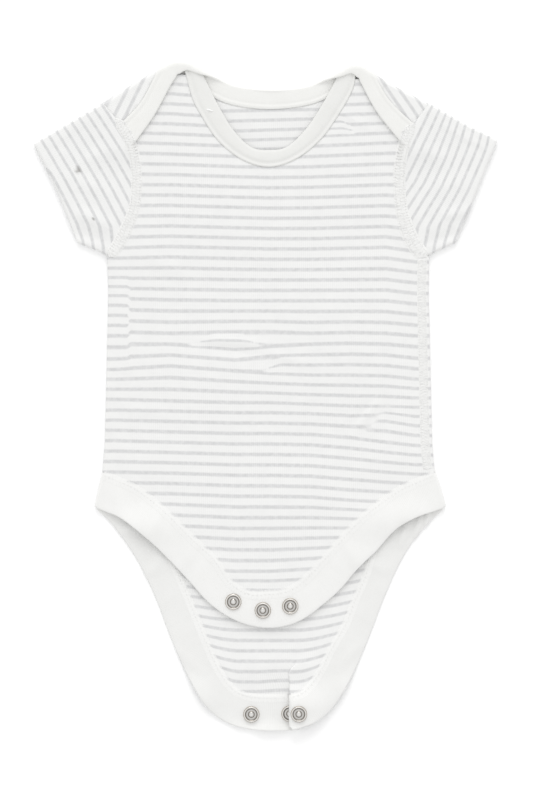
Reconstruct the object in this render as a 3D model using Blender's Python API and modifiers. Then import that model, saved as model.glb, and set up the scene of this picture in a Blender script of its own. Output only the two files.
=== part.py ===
"""A short-sleeved baby bodysuit with envelope shoulders, laid flat on its back, unfastened.

The garment lies on z = 0 with its shoulders toward +Y and its front upward; left and right are
-X and +X. The back panel, the lower halves of the sleeves and the back leg binding rest on the
floor. The front panel and its bindings lie on them. At each shoulder the back panel turns over
the front and its neck binding runs down to the armhole as a lap. The crotch is open: three ring
snaps sit on the front leg binding and three on the back one, which has a pleat between them.

Every piece of cloth is drawn flat, as it is cut, in millimetres. It is divided into small
faces, folded and laid by the functions below, and given its wall by a Solidify modifier. The
outlines are drawn for the right half and mirrored; lay() then makes the small unevenness of a
garment that was spread out by hand.
"""

import math
from collections import namedtuple

import bmesh
import bpy
from mathutils import Vector

MM = 0.001

# ---- driving sizes, mm ----
PANEL_WALL = 1.0  # single knit
BAND_WALL = 1.4  # binding, knit folded double
SEAM_GAP = 0.3  # between the edges of two pieces that are sewn together
LAYER_GAP = 0.4  # between pieces that lie on each other
GRID = 24.0  # size of a panel's inner faces
EDGE_STEP = 8.0  # length of an outline's edges
SIDE_STEP = 14.0  # the same along the straight body sides
ROLL_ANGLE = math.radians(78)  # each panel's turn down or up to the side seam
ROLL_STEPS = 3

# heights of the middle of each layer's wall
FRONT_LEVEL = BAND_WALL + LAYER_GAP + BAND_WALL / 2
LAP_LEVEL = FRONT_LEVEL + BAND_WALL + LAYER_GAP

# ---- outlines of the right half, mm from the garment's middle line ----
Edge = namedtuple("Edge", "name free_x free_y seam_x seam_y")  # a station across a binding
Spot = namedtuple("Spot", "name x y")

BODY_SIDE = (
    Spot("leg", 104.4, -66.6),
    Spot("hip", 99.6, -46.0),
    Spot("seat", 98.1, -28.0),
    Spot("waist", 97.0, 20.0),
    Spot("chest", 96.0, 62.0),
    Spot("underarm", 96.5, 83.4),
)
ARMHOLE = (
    Spot("underarm", 95.2, 83.4),
    Spot("curve", 89.3, 90.5),
    Spot("scye", 84.4, 100.5),
    Spot("lower", 80.0, 114.0),
    Spot("chest", 79.0, 134.0),
    Spot("lap end", 81.8, 150.5),
    Spot("yoke", 87.4, 162.0),
    Spot("cap", 92.4, 168.4),
    Spot("shoulder", 98.0, 175.2),
)
FRONT_NECK = (
    Edge("middle", 0.0, 147.3, 0.0, 137.1),
    Edge("curve", 11.0, 149.3, 15.5, 141.3),
    Edge("side", 22.0, 160.0, 30.5, 153.0),
    Edge("upper", 31.5, 175.0, 42.0, 169.5),
    Edge("top", 37.2, 186.0, 49.6, 184.0),
    Edge("end", 39.6, 191.2, 52.0, 196.8),
)
BACK_NECK = (
    Edge("middle", 0.0, 183.6, 0.0, 172.0),
    Edge("curve", 18.0, 184.9, 20.5, 174.1),
    Edge("rise", 29.0, 188.8, 34.5, 179.3),
    Edge("roll", 41.0, 198.2, 48.0, 190.2),
    Edge("peak", 52.5, 204.6, 56.0, 194.4),
    Edge("lap top", 66.0, 205.8, 67.5, 195.4),
    Edge("lap", 88.0, 206.2, 86.0, 195.6),
    Edge("lap end", 111.3, 203.4, 104.2, 191.0),
)
FRONT_LEG = (
    Edge("middle", 0.0, -138.9, 0.0, -116.4),
    Edge("crotch", 18.3, -135.4, 11.5, -114.6),
    Edge("turn", 35.5, -124.8, 20.8, -108.9),
    Edge("low thigh", 50.3, -108.6, 34.8, -94.3),
    Edge("thigh", 68.5, -89.4, 55.5, -72.3),
    Edge("hip", 86.5, -74.4, 77.0, -56.0),
    Edge("corner", 97.5, -69.3, 92.0, -49.0),
    Edge("side", 104.4, -66.6, 99.6, -46.0),
)
BACK_LEG = (
    Edge("middle", 0.0, -200.4, 0.0, -180.0),
    Edge("turn", 21.0, -197.6, 13.0, -179.0),
    Edge("corner", 36.0, -188.3, 22.3, -174.2),
    Edge("tail", 48.5, -169.0, 31.5, -160.5),
    Edge("lower", 59.5, -144.5, 41.2, -137.5),
    Edge("mid", 68.5, -121.0, 51.2, -113.0),
    Edge("thigh", 79.2, -98.4, 62.0, -88.5),
    Edge("hip", 92.5, -78.6, 79.5, -63.0),
    Edge("side", 104.4, -66.6, 99.6, -46.0),
)
SLEEVE_TIP = Vector((138.9, 151.2))
SLEEVE_CORNER = Vector((112.8, 91.6))
SLEEVE_UNDERARM = Vector((96.2, 84.4))

# ---- shoulder fold: two straight folds that meet in a round peak ----
SHOULDER_NORMAL = Vector((0.4985, 0.8669))  # across the fold from the peak to the armhole
NECK_NORMAL = Vector((-0.490, 0.8717))  # across the short roll beside the neck
PEAK_CENTRE = Vector((52.6, 186.0))
PEAK_RADIUS = 13.3  # of the silhouette
TURN_RADIUS = (LAP_LEVEL - BAND_WALL / 2) / 2
FOLD_DISTANCE = PEAK_RADIUS - TURN_RADIUS - BAND_WALL / 2  # where the turn starts
ROLL_END = 33.0  # the roll beside the neck has run out here
ROLL_FADE = 0.3
FOLD_LOWEST = 160.0  # nothing below this turns over
FOLD_CLEARANCE = 0.6  # from the front panel's edge to the turn
YOKE_INNER = 58.0  # the front panel's edge runs along the fold between these
YOKE_OUTER = 95.8
FOLD_OUTER = 96.6  # the back panel's fold meets the armhole here
FOLD_FACES = 5  # around the turn
PEAK_INNER = 38.0  # the fine faces of each peak
PEAK_OUTER = PEAK_CENTRE.x + 7.0
PEAK_LOW = 192.0
PEAK_HIGH = 206.0
PEAK_STEP_X = 3.0
PEAK_STEP_Y = 1.5

# ---- pleat in the back flap: the right part lies over the left ----
PLEAT_EDGE = 11.4  # the fold that shows
PLEAT_DEPTH = 6.6
PLEAT_TOP = -150.0  # it has run out here
PLEAT_FULL = -182.0
UNDER_RADIUS = 1.55
OVER_RADIUS = 0.9
PLEAT_REST = 22.0  # the lifted cloth comes back to the floor over this length
PLEAT_START = PLEAT_EDGE + OVER_RADIUS + BAND_WALL / 2
PLEAT_CALM = -8.0  # the cloth is pushed sideways from here on
FOLD_SHARE = 0.4  # of the pleat's strip, on each of its two folds
TURNED_AT = 0.6  # of the pleat's strength, where its folds have turned right over
OVERLAP_FROM = 0.45  # of the pleat's strength, where it starts to overlap
GENTLE_TURN = 2.0
FLAT_BETWEEN = 1.5
PLEAT_STRIP = GENTLE_TURN * (UNDER_RADIUS + OVER_RADIUS) + FLAT_BETWEEN
PLEAT_FACES = 4  # around each of its folds
PLEAT_STEP_Y = 5.0
PLEAT_REST_STEP = 9.0

# ---- ring snaps ----
SNAP_RADIUS = 4.85
SNAP_STEPS = 16
Snap = namedtuple("Snap", "name x y lift")
FRONT_SNAPS = (
    Snap("snap_front_1", -21.9, -123.2, FRONT_LEVEL),
    Snap("snap_front_2", -4.2, -128.3, FRONT_LEVEL),
    Snap("snap_front_3", 12.2, -125.8, FRONT_LEVEL),
)
TOP_LAYER = BAND_WALL / 2 + 2 * (UNDER_RADIUS + OVER_RADIUS)
BACK_SNAPS = (
    Snap("snap_back_1", -11.1, -190.8, BAND_WALL / 2),
    Snap("snap_back_2", 11.8, -190.4, BAND_WALL / 2),
    Snap("snap_back_3", 17.3, -190.0, TOP_LAYER),
)

WHITE_KNIT = (0.90, 0.90, 0.89, 1.0)
WHITE_RIB = (0.91, 0.91, 0.895, 1.0)
NICKEL = (0.60, 0.57, 0.53, 1.0)


def ease(value):
    """0 below 0, 1 above 1, and a smooth rise between."""
    value = min(max(value, 0.0), 1.0)
    return value * value * (3 - 2 * value)


# ---------------------------------------------------------------- outlines
def curve_through(points, step):
    """Points about step apart on a smooth curve through the given ones."""
    points = [Vector(p) for p in points]
    ends = [2 * points[0] - points[1]] + points + [2 * points[-1] - points[-2]]
    path = []
    for before, start, end, after in zip(ends, ends[1:], ends[2:], ends[3:]):
        count = max(1, round((end - start).length / step))
        for k in range(count):
            t = k / count
            path.append(
                0.5
                * (
                    2 * start
                    + (end - before) * t
                    + (2 * before - 5 * start + 4 * end - after) * t**2
                    + (3 * start - before - 3 * end + after) * t**3
                )
            )
    return path + [points[-1]]


def stations(table):
    """Both edges of a binding's right half, from the middle line outward."""
    return curve_through([Vector(row[1:]) for row in table], EDGE_STEP)


def seam_line(table):
    """The seam edge of a binding's right half, which its panel shares."""
    return [Vector(station[2:]) for station in stations(table)]


def armhole_line():
    """The armhole seam from the underarm to the top of the shoulder."""
    return curve_through([(spot.x, spot.y) for spot in ARMHOLE], EDGE_STEP)


def side_reach(y):
    """Half the garment's width at a height, to the outside of the cloth."""
    for low, high in zip(BODY_SIDE, BODY_SIDE[1:]):
        if y <= high.y or high is BODY_SIDE[-1]:
            return low.x + (high.x - low.x) * (y - low.y) / (high.y - low.y)


def with_mirror(half):
    """A right half that runs from the middle line back to it, joined to its left half."""
    left = [Vector((-p.x, p.y)) for p in reversed(half) if p.x > 0.01]
    return list(half) + left


def inset(outline, distance):
    """A closed anticlockwise outline moved inward."""
    moved = []
    for before, point, after in zip(outline[-1:] + outline[:-1], outline, outline[1:] + outline[:1]):
        inward_1 = Vector((before.y - point.y, point.x - before.x)).normalized()
        inward_2 = Vector((point.y - after.y, after.x - point.x)).normalized()
        middle = (inward_1 + inward_2).normalized()
        moved.append(point + middle * distance / max(middle.dot(inward_1), 0.5))
    return moved


# ---------------------------------------------------------------- folding and laying
# Smooth steps that lay() uses: each rises from 0 at its start to 1 over its length.
Step = namedtuple("Step", "start length")
SHOULDER_UP = Step(140.0, 40.0)
NECK_OUT = Step(42.0, 24.0)
SLEEVE_OUT = Step(84.0, 50.0)
SLEEVE_UP = Step(60.0, 30.0)
CROTCH_DOWN = Step(70.0, 50.0)
TILT_UP = Step(170.0, 20.0)
BODY_SHIFT = 1.8  # the body lies this far to the right of the middle line
SHOULDER_SHIFT = -1.4
NECK_SHIFT = 2.3
CROTCH_SHIFT = 0.8
SHOULDER_TILT = -0.02


def rise(step, value):
    return ease((value - step.start) / step.length)


def lay(x, y):
    """Where a point of the even pattern ends up on the garment as it was spread."""
    near_neck = 1 - rise(NECK_OUT, abs(x))
    on_sleeve = rise(SLEEVE_OUT, abs(x)) * rise(SLEEVE_UP, y)
    shift = BODY_SHIFT + rise(SHOULDER_UP, y) * (NECK_SHIFT * near_neck + SHOULDER_SHIFT)
    shift = shift * (1 - on_sleeve) + CROTCH_SHIFT * rise(CROTCH_DOWN, -y)
    return x + shift, y + SHOULDER_TILT * x * rise(TILT_UP, y)


def shoulder_distance(point):
    """How far a point lies outside the shoulder's fold line, and the direction across it."""
    across = point - PEAK_CENTRE
    angle = math.atan2(across.y, across.x)
    shoulder_angle = math.atan2(SHOULDER_NORMAL.y, SHOULDER_NORMAL.x)
    neck_angle = math.atan2(NECK_NORMAL.y, NECK_NORMAL.x)
    if shoulder_angle < angle < neck_angle:
        return across.length - FOLD_DISTANCE, across.normalized()
    if point.x > PEAK_CENTRE.x:
        return across.dot(SHOULDER_NORMAL) - FOLD_DISTANCE, SHOULDER_NORMAL
    faded = ROLL_FADE * max(0.0, ROLL_END - point.x)
    return across.dot(NECK_NORMAL) - FOLD_DISTANCE - faded, NECK_NORMAL


def turn_over(x, y, low):
    """Turn what lies past the shoulder fold over onto the front."""
    point = Vector((abs(x), y))
    distance, across = shoulder_distance(point)
    if y < FOLD_LOWEST or distance <= 0:
        return x, y, low
    angle = min(distance / TURN_RADIUS, math.pi)
    past = max(0.0, distance - math.pi * TURN_RADIUS)
    point += across * (TURN_RADIUS * math.sin(angle) - past - distance)
    height = low + (LAP_LEVEL - low) * (1 - math.cos(angle)) / 2
    return math.copysign(point.x, x), point.y, height


def unfolded(point):
    """The place in the flat cut of a point that lies turned over on the front."""
    distance, across = shoulder_distance(point)
    return point + across * (math.pi * TURN_RADIUS - 2 * distance)


def pleat_shape(y):
    """The pleat at a height: how far its folds turn, the length between them, where it starts."""
    strength = ease((PLEAT_TOP - y) / (PLEAT_TOP - PLEAT_FULL))
    turn = max(math.pi * ease(strength / TURNED_AT), 0.001)
    overlap = PLEAT_DEPTH * ease((strength - OVERLAP_FROM) / (1 - OVERLAP_FROM))
    return turn, overlap, PLEAT_START + overlap


def pleat_point(share, y):
    """Place and lift on the pleat's cross-section, where share runs from 0 to 1 along it.

    The cloth turns up and back over itself on the under fold, runs back for the overlap, and
    turns over to the right again on the fold that shows.
    """
    turn, overlap, x = pleat_shape(y)
    under = UNDER_RADIUS * max(turn, GENTLE_TURN) / turn
    over = OVER_RADIUS * max(turn, GENTLE_TURN) / turn
    between = max(overlap, FLAT_BETWEEN)
    first = turn * min(share / FOLD_SHARE, 1)
    x += under * math.sin(first)
    lift = under * (1 - math.cos(first))
    middle = between * min(max((share - FOLD_SHARE) / (1 - 2 * FOLD_SHARE), 0), 1)
    x += middle * math.cos(turn)
    lift += middle * math.sin(turn)
    last = turn * min(max((share - 1 + FOLD_SHARE) / FOLD_SHARE, 0), 1)
    x += over * (math.sin(turn) - math.sin(turn - last))
    lift += over * (math.cos(turn - last) - math.cos(turn))
    return x, lift


def fold_pleat(x, y):
    """Fold the flat back flap at its pleat: place and lift of a point."""
    start = pleat_shape(y)[2]
    if x <= PLEAT_START:
        pushed = (start - PLEAT_START) * ease((x - PLEAT_CALM) / (PLEAT_START - PLEAT_CALM))
        return x + pushed, 0.0
    if x < PLEAT_START + PLEAT_STRIP:
        return pleat_point((x - PLEAT_START) / PLEAT_STRIP, y)
    end, lift = pleat_point(1, y)
    x += end - PLEAT_START - PLEAT_STRIP
    carried = start + UNDER_RADIUS + BAND_WALL
    return x, lift * (1 - ease((x - carried) / PLEAT_REST))


def opened(point):
    """The place in the flat back flap of a point that lies right of the pleat."""
    end = pleat_point(1, point.y)[0]
    if point.x <= PLEAT_EDGE or point.y > PLEAT_TOP:
        return point.copy()
    return Vector((max(point.x, end + 0.5) + PLEAT_START + PLEAT_STRIP - end, point.y))


def place_front(x, y, level):
    x, y = lay(x, y)
    return x, y, level


def place_back(x, y, level):
    """The back lies on the floor, pleated at the crotch and turned over at the shoulders."""
    if y < PLEAT_TOP:
        x, lift = fold_pleat(x, y)
        level += lift
    x, y, level = turn_over(x, y, level)
    x, y = lay(x, y)
    return x, y, level


# ---------------------------------------------------------------- making objects
def collection_for(name):
    collection = bpy.data.collections.new(name)
    bpy.context.scene.collection.children.link(collection)
    return collection


def material_of(name, colour, roughness, metallic=0.0):
    material = bpy.data.materials.new(name)
    material.use_nodes = True
    shader = material.node_tree.nodes["Principled BSDF"]
    shader.inputs["Base Color"].default_value = colour
    shader.inputs["Roughness"].default_value = roughness
    shader.inputs["Metallic"].default_value = metallic
    return material


def cloth_object(name, bm, wall, colour, sharp=math.radians(50)):
    """An object from the middle surface of a piece, in millimetres, with its wall."""
    bmesh.ops.triangulate(bm, faces=[f for f in bm.faces if len(f.verts) > 4])
    bmesh.ops.scale(bm, vec=(MM, MM, MM), verts=bm.verts)
    mesh = bpy.data.meshes.new(name)
    bm.to_mesh(mesh)
    bm.free()
    thing = bpy.data.objects.new(name, mesh)
    GARMENT.objects.link(thing)
    mesh.shade_smooth()
    mesh.set_sharp_from_angle(angle=sharp)
    mesh.materials.append(material_of(name, colour, 0.9))
    solidify = thing.modifiers.new("wall", "SOLIDIFY")
    solidify.thickness = wall * MM
    solidify.offset = 0.0
    return thing


def cut_along(bm, normal, places, picks=None):
    """Cut the faces that picks() chooses along parallel lines, given by their places."""
    for place in places:
        faces = [f for f in bm.faces if picks is None or picks(f.calc_center_median())]
        geometry = faces + list({e for f in faces for e in f.edges})
        geometry += list({v for f in faces for v in f.verts})
        line = normal * place
        bmesh.ops.bisect_plane(
            bm, geom=geometry, dist=0.05, plane_co=(line.x, line.y, 0), plane_no=(normal.x, normal.y, 0)
        )


def spaced(start, end, step):
    count = max(1, round((end - start) / step))
    return [start + (end - start) * k / count for k in range(count + 1)]


ACROSS = Vector((1, 0))
UPWARD = Vector((0, 1))


def cut_pleat(bm):
    """The fine faces that the pleat's folds need."""
    end = PLEAT_START + PLEAT_STRIP
    rest = end + PLEAT_REST + PLEAT_DEPTH

    def on_flap(centre):
        return centre.y < PLEAT_TOP

    def beside_pleat(centre):
        return centre.x > 0 and centre.y < PLEAT_TOP + PLEAT_STEP_Y

    cut_along(bm, UPWARD, spaced(PLEAT_FULL, PLEAT_TOP, PLEAT_STEP_Y), beside_pleat)
    cut_along(bm, ACROSS, spaced(PLEAT_START, end, PLEAT_STRIP * FOLD_SHARE / PLEAT_FACES), on_flap)
    cut_along(bm, ACROSS, spaced(end, rest, PLEAT_REST_STEP), on_flap)


def cut_shoulder_fold(bm):
    """The fine faces that the turn at each shoulder needs."""
    first = PEAK_CENTRE.dot(SHOULDER_NORMAL) + FOLD_DISTANCE
    turn = math.pi * TURN_RADIUS
    for sign in (1, -1):

        def on_shoulder(centre):
            return centre.x * sign > PEAK_OUTER - 1 and centre.y > FOLD_LOWEST + 5

        normal = Vector((sign * SHOULDER_NORMAL.x, SHOULDER_NORMAL.y))
        cut_along(bm, normal, spaced(first, first + turn, turn / FOLD_FACES), on_shoulder)


def cut_peaks(bm):
    """The fine faces of the round peak at the top of each shoulder."""
    for sign in (1, -1):

        def on_peak(centre):
            return PEAK_INNER < centre.x * sign < PEAK_OUTER and centre.y > PEAK_LOW - 2

        columns = [sign * x for x in spaced(PEAK_INNER, PEAK_OUTER, PEAK_STEP_X)]
        cut_along(bm, ACROSS, columns, on_peak)
        cut_along(bm, UPWARD, spaced(PEAK_LOW, PEAK_HIGH, PEAK_STEP_Y), on_peak)


def panel(outline):
    """A flat face inside an outline, divided by a square grid."""
    bm = bmesh.new()
    bm.faces.new([bm.verts.new((p.x, p.y, 0)) for p in inset(outline, SEAM_GAP / 2)])
    for normal in (ACROSS, UPWARD):
        places = [v.co.xy.dot(normal) for v in bm.verts]
        first = math.ceil(min(places) / GRID) * GRID
        cut_along(bm, normal, spaced(first, first + GRID * int((max(places) - first) / GRID), GRID))
    return bm


def band(half, end_gap):
    """A binding as a strip of faces in the flat cut, mirrored from its right half."""
    half = [s.copy() for s in half]
    half[-1] += (half[-2] - half[-1]).normalized() * end_gap * math.sqrt(2)
    left = [Vector((-s[0], s[1], -s[2], s[3])) for s in reversed(half[1:])]
    bm = bmesh.new()
    rows = []
    for station in left + half:
        free = Vector(station[:2])
        seam = Vector(station[2:])
        seam += (free - seam).normalized() * SEAM_GAP / 2
        rows.append([bm.verts.new(free.lerp(seam, share).to_3d()) for share in (0, 0.5, 1)])
    for row, following in zip(rows, rows[1:]):
        for k in range(len(row) - 1):
            bm.faces.new((row[k], following[k], following[k + 1], row[k + 1]))
    bmesh.ops.recalc_face_normals(bm, faces=bm.faces)
    if bm.faces[0].normal.z < 0:
        bmesh.ops.reverse_faces(bm, faces=bm.faces)
    return bm


def to_side(half, wall):
    """A leg binding's stations, ended where it rolls down the garment's side."""
    end = half[-1].copy()
    end[0] -= roll_room(wall)
    end[2] -= roll_room(wall)
    return half[:-1] + [end]


def roll_radius(wall):
    return (FRONT_LEVEL - wall / 2 - SEAM_GAP) / 2


def roll_room(wall):
    return roll_radius(wall) + wall / 2


def roll_sides(bm, wall, upward, picks):
    """Roll the edges at the garment's sides up or down to the side seam."""
    chosen = [e for e in bm.edges if e.is_boundary and all(picks(v) for v in e.verts)]
    radius = roll_radius(wall)
    for k in range(ROLL_STEPS):
        made = bmesh.ops.extrude_edge_only(bm, edges=chosen)["geom"]
        chosen = [g for g in made if isinstance(g, bmesh.types.BMEdge)]
        chosen = [e for e in chosen if e.is_boundary and all(v in made for v in e.verts)]
        old = ROLL_ANGLE * k / ROLL_STEPS
        new = ROLL_ANGLE * (k + 1) / ROLL_STEPS
        out = radius * (math.sin(new) - math.sin(old))
        up = radius * (math.cos(old) - math.cos(new)) * upward
        for vert in {v for e in chosen for v in e.verts}:
            vert.co += Vector((math.copysign(out, vert.co.x), 0, up))


def lay_front_piece(bm, wall, at_side):
    """Lay a flat piece on the back, with its edges at the garment's sides rolled down."""
    side = {v for v in bm.verts if v.is_boundary and at_side(v.co)}
    for vert in bm.verts:
        vert.co = place_front(vert.co.x, vert.co.y, FRONT_LEVEL)
    roll_sides(bm, wall, -1, side.__contains__)


def lay_back_piece(bm, wall, at_side):
    """Lay a flat piece on the floor, with its edges at the garment's sides rolled up."""
    side = {v for v in bm.verts if v.is_boundary and at_side(v.co)}
    for vert in bm.verts:
        vert.co = place_back(vert.co.x, vert.co.y, wall / 2)
    roll_sides(bm, wall, 1, side.__contains__)


def nowhere(co):
    """For a piece that doesn't reach the garment's sides."""
    return False


# ---------------------------------------------------------------- the pieces
SIDE_TOLERANCE = 0.6  # an edge this close to the side line is on it
LAP_CORNER = 2.0  # the panel's armhole edge stops this far from the neck binding
LEG_END = 95.0  # a leg binding's ends lie outside this


def body_side(wall):
    """The body's right side from the hip to the underarm, where it starts to roll."""
    low = next(s for s in BODY_SIDE if s.name == "hip").y
    high = BODY_SIDE[-1].y
    return [Vector((side_reach(y) - roll_room(wall), y)) for y in spaced(low, high, SIDE_STEP)]


def on_side_line(co, wall):
    return abs(abs(co.x) - side_reach(co.y) + roll_room(wall)) < SIDE_TOLERANCE


def on_panel_side(co):
    return BODY_SIDE[1].y <= co.y <= BODY_SIDE[-1].y and on_side_line(co, PANEL_WALL)


def shoulder_line_point(x, inside):
    """A point on the shoulder's fold line, or inside it."""
    across = FOLD_DISTANCE - inside + PEAK_CENTRE.dot(SHOULDER_NORMAL)
    return Vector((x, (across - x * SHOULDER_NORMAL.x) / SHOULDER_NORMAL.y))


def body_armhole():
    """The armhole seam above the underarm, as far as the shoulder's fold."""
    return [p for p in armhole_line()[1:] if shoulder_distance(p)[0] < -FOLD_CLEARANCE]


def make_front_panel():
    outline = seam_line(FRONT_LEG)[:-1] + body_side(PANEL_WALL) + body_armhole()
    outline += [shoulder_line_point(x, FOLD_CLEARANCE) for x in (YOKE_OUTER, YOKE_INNER)]
    outline += list(reversed(seam_line(FRONT_NECK)))
    bm = panel(with_mirror(outline))
    lay_front_piece(bm, PANEL_WALL, on_panel_side)
    return cloth_object("front_panel", bm, PANEL_WALL, WHITE_KNIT)


def make_back_panel():
    lap_end = BACK_NECK[-1].seam_y
    corner = shoulder_line_point(FOLD_OUTER, 0.0)
    turned = [unfolded(p) for p in [corner] + list(reversed(body_armhole()))]
    outline = seam_line(BACK_LEG)[:-1] + body_side(PANEL_WALL) + body_armhole() + [corner]
    outline += [p for p in turned if p.y < lap_end - LAP_CORNER]
    outline += list(reversed(seam_line(BACK_NECK)))
    half = with_mirror(outline)
    bm = panel([opened(p) for p in half])
    cut_pleat(bm)
    cut_shoulder_fold(bm)
    lay_back_piece(bm, PANEL_WALL, on_panel_side)
    return cloth_object("back_panel", bm, PANEL_WALL, WHITE_KNIT)


def make_front_neck_binding():
    bm = band(stations(FRONT_NECK), 0.0)
    lay_front_piece(bm, BAND_WALL, nowhere)
    return cloth_object("neck_binding_front", bm, BAND_WALL, WHITE_RIB)


def make_back_neck_binding():
    bm = band(stations(BACK_NECK), SEAM_GAP / 2)
    cut_shoulder_fold(bm)
    cut_peaks(bm)
    lay_back_piece(bm, BAND_WALL, nowhere)
    return cloth_object("neck_binding_back", bm, BAND_WALL, WHITE_RIB)


def on_leg_end(co):
    return abs(co.x) > LEG_END and on_side_line(co, BAND_WALL)


def make_front_leg_binding():
    bm = band(to_side(stations(FRONT_LEG), BAND_WALL), 0.0)
    lay_front_piece(bm, BAND_WALL, on_leg_end)
    return cloth_object("leg_binding_front", bm, BAND_WALL, WHITE_RIB)


def make_back_leg_binding():
    bm = band(to_side(stations(BACK_LEG), BAND_WALL), 0.0)
    for vert in bm.verts:
        vert.co.xy = opened(vert.co.xy)
    cut_pleat(bm)
    lay_back_piece(bm, BAND_WALL, on_leg_end)
    return cloth_object("leg_binding_back", bm, BAND_WALL, WHITE_RIB)


SLEEVE_RINGS = (0, 0.15, 0.35, 0.65, 1)  # shares of the way from the armhole to the hem
TURN_FACES = 4  # around each of the sleeve's turned edges
LAP_RUN = 0.7  # share of the sleeve's length over which it comes down from the lap
LAP_SHARE = 0.27  # share of the armhole that lies on the lap
LAP_FADE = 0.2


def sleeve_ring(out, side):
    """A ring around the flattened sleeve: out is 0 at the armhole and 1 at the hem."""
    shoulder = Vector(ARMHOLE[-1][1:])
    top = shoulder.lerp(SLEEVE_TIP, out) + (SLEEVE_TIP - shoulder).normalized() * SEAM_GAP * (1 - out)
    bottom = SLEEVE_UNDERARM.lerp(SLEEVE_CORNER, out)
    armhole = list(reversed(armhole_line()))
    along = [0.0]
    for before, point in zip(armhole, armhole[1:]):
        along.append(along[-1] + (point - before).length)

    def across(v):
        length = v * along[-1]
        k = max(i for i, a in enumerate(along[:-1]) if a <= length)
        seam = armhole[k].lerp(armhole[k + 1], (length - along[k]) / (along[k + 1] - along[k]))
        hem = SLEEVE_TIP.lerp(SLEEVE_CORNER, v)
        return seam.lerp(hem, out) + (hem - seam).normalized() * SEAM_GAP / 2

    up = (top - across(0.1)).normalized()
    down = (bottom - across(0.95)).normalized()
    low = PANEL_WALL / 2
    raised = (LAP_LEVEL - FRONT_LEVEL) * (1 - ease(out / LAP_RUN))
    top_radius = (FRONT_LEVEL + raised - low) / 2
    bottom_radius = (FRONT_LEVEL - low) / 2
    top_base = top - up * (top_radius + PANEL_WALL / 2)
    bottom_base = bottom - down * (bottom_radius + PANEL_WALL / 2)
    inner = [a / along[-1] for a in along if 0.05 < a / along[-1] < 0.95]
    flat = [top_base] + [across(v) for v in inner] + [bottom_base]
    lifts = [FRONT_LEVEL + raised * (1 - ease((v - LAP_SHARE) / LAP_FADE)) for v in [0] + inner + [1]]
    ring = [(p, z) for p, z in zip(flat, lifts)]
    ring += turned_edge(bottom_base, down, bottom_radius, low, -1)
    ring += [(p, low) for p in reversed(flat)]
    ring += turned_edge(top_base, up, top_radius, low, 1)
    return [(*lay(side * p.x, p.y), z) for p, z in ring]


def turned_edge(base, outward, radius, low, upward):
    """The points between two layers where the sleeve's cloth turns."""
    points = []
    for k in range(1, TURN_FACES):
        angle = math.pi * k / TURN_FACES
        height = low + radius * (1 - upward * math.cos(angle))
        points.append((base + outward * radius * math.sin(angle), height))
    return points


def make_sleeve(name, side):
    bm = bmesh.new()
    rings = [[bm.verts.new(co) for co in sleeve_ring(out, side)] for out in SLEEVE_RINGS]
    for ring, following in zip(rings, rings[1:]):
        for k in range(len(ring)):
            bm.faces.new((ring[k - 1], ring[k], following[k], following[k - 1]))
    bmesh.ops.recalc_face_normals(bm, faces=bm.faces)
    return cloth_object(name, bm, PANEL_WALL, WHITE_KNIT)


# ---------------------------------------------------------------- ring snaps
Profile = namedtuple("Profile", "radius height")
HALF_BAND = BAND_WALL / 2
SHANK_RADIUS = 1.6  # through the cloth
FLANGE_RADIUS = 4.2  # of the ring sunk under the cloth
FLANGE_WALL = 0.35
SNAP_GAP = 0.3  # around and above the shank, the cap and the flange
SNAP_PROFILE = (  # from the top down to the ring under the cloth, heights from mid-cloth
    Profile(0.0, HALF_BAND + 1.25),
    Profile(1.2, HALF_BAND + 1.15),
    Profile(1.65, HALF_BAND + 0.6),
    Profile(3.4, HALF_BAND + 0.6),
    Profile(3.7, HALF_BAND + 1.1),
    Profile(4.3, HALF_BAND + 1.2),
    Profile(SNAP_RADIUS, HALF_BAND + 0.75),
    Profile(SNAP_RADIUS, HALF_BAND + SNAP_GAP),
    Profile(SHANK_RADIUS, HALF_BAND + SNAP_GAP),
    Profile(SHANK_RADIUS, FLANGE_WALL - HALF_BAND),
    Profile(FLANGE_RADIUS, FLANGE_WALL - HALF_BAND),
    Profile(FLANGE_RADIUS, -HALF_BAND),
    Profile(0.0, -HALF_BAND),
)
CUT_PAST = 0.15  # the cutter reaches this far out of the cloth
HOLE_PROFILE = (
    Profile(0.0, HALF_BAND + CUT_PAST),
    Profile(SHANK_RADIUS + SNAP_GAP, HALF_BAND + CUT_PAST),
    Profile(SHANK_RADIUS + SNAP_GAP, FLANGE_WALL + SNAP_GAP - HALF_BAND),
    Profile(FLANGE_RADIUS + SNAP_GAP, FLANGE_WALL + SNAP_GAP - HALF_BAND),
    Profile(FLANGE_RADIUS + SNAP_GAP, -HALF_BAND - CUT_PAST),
    Profile(0.0, -HALF_BAND - CUT_PAST),
)


def turned_object(name, profile, collection):
    mesh = bpy.data.meshes.new(name)
    points = [(p.radius * MM, 0, p.height * MM) for p in profile]
    mesh.from_pydata(points, [(k, k + 1) for k in range(len(points) - 1)], [])
    thing = bpy.data.objects.new(name, mesh)
    collection.objects.link(thing)
    screw = thing.modifiers.new("turn", "SCREW")
    screw.steps = screw.render_steps = SNAP_STEPS
    screw.use_merge_vertices = True
    screw.merge_threshold = 0.00001
    return thing


def make_snap(snap, binding):
    x, y = lay(snap.x, snap.y)
    place = (x * MM, y * MM, snap.lift * MM)
    thing = turned_object(snap.name, SNAP_PROFILE, GARMENT)
    thing.location = place
    thing.data.materials.append(material_of(snap.name, NICKEL, 0.3, 1.0))
    hole = turned_object(snap.name + "_hole", HOLE_PROFILE, CUTTERS)
    hole.location = place
    hole.hide_render = True
    hole.display_type = "WIRE"
    cut = binding.modifiers.new(snap.name, "BOOLEAN")
    cut.operation = "DIFFERENCE"
    cut.object = hole


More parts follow.
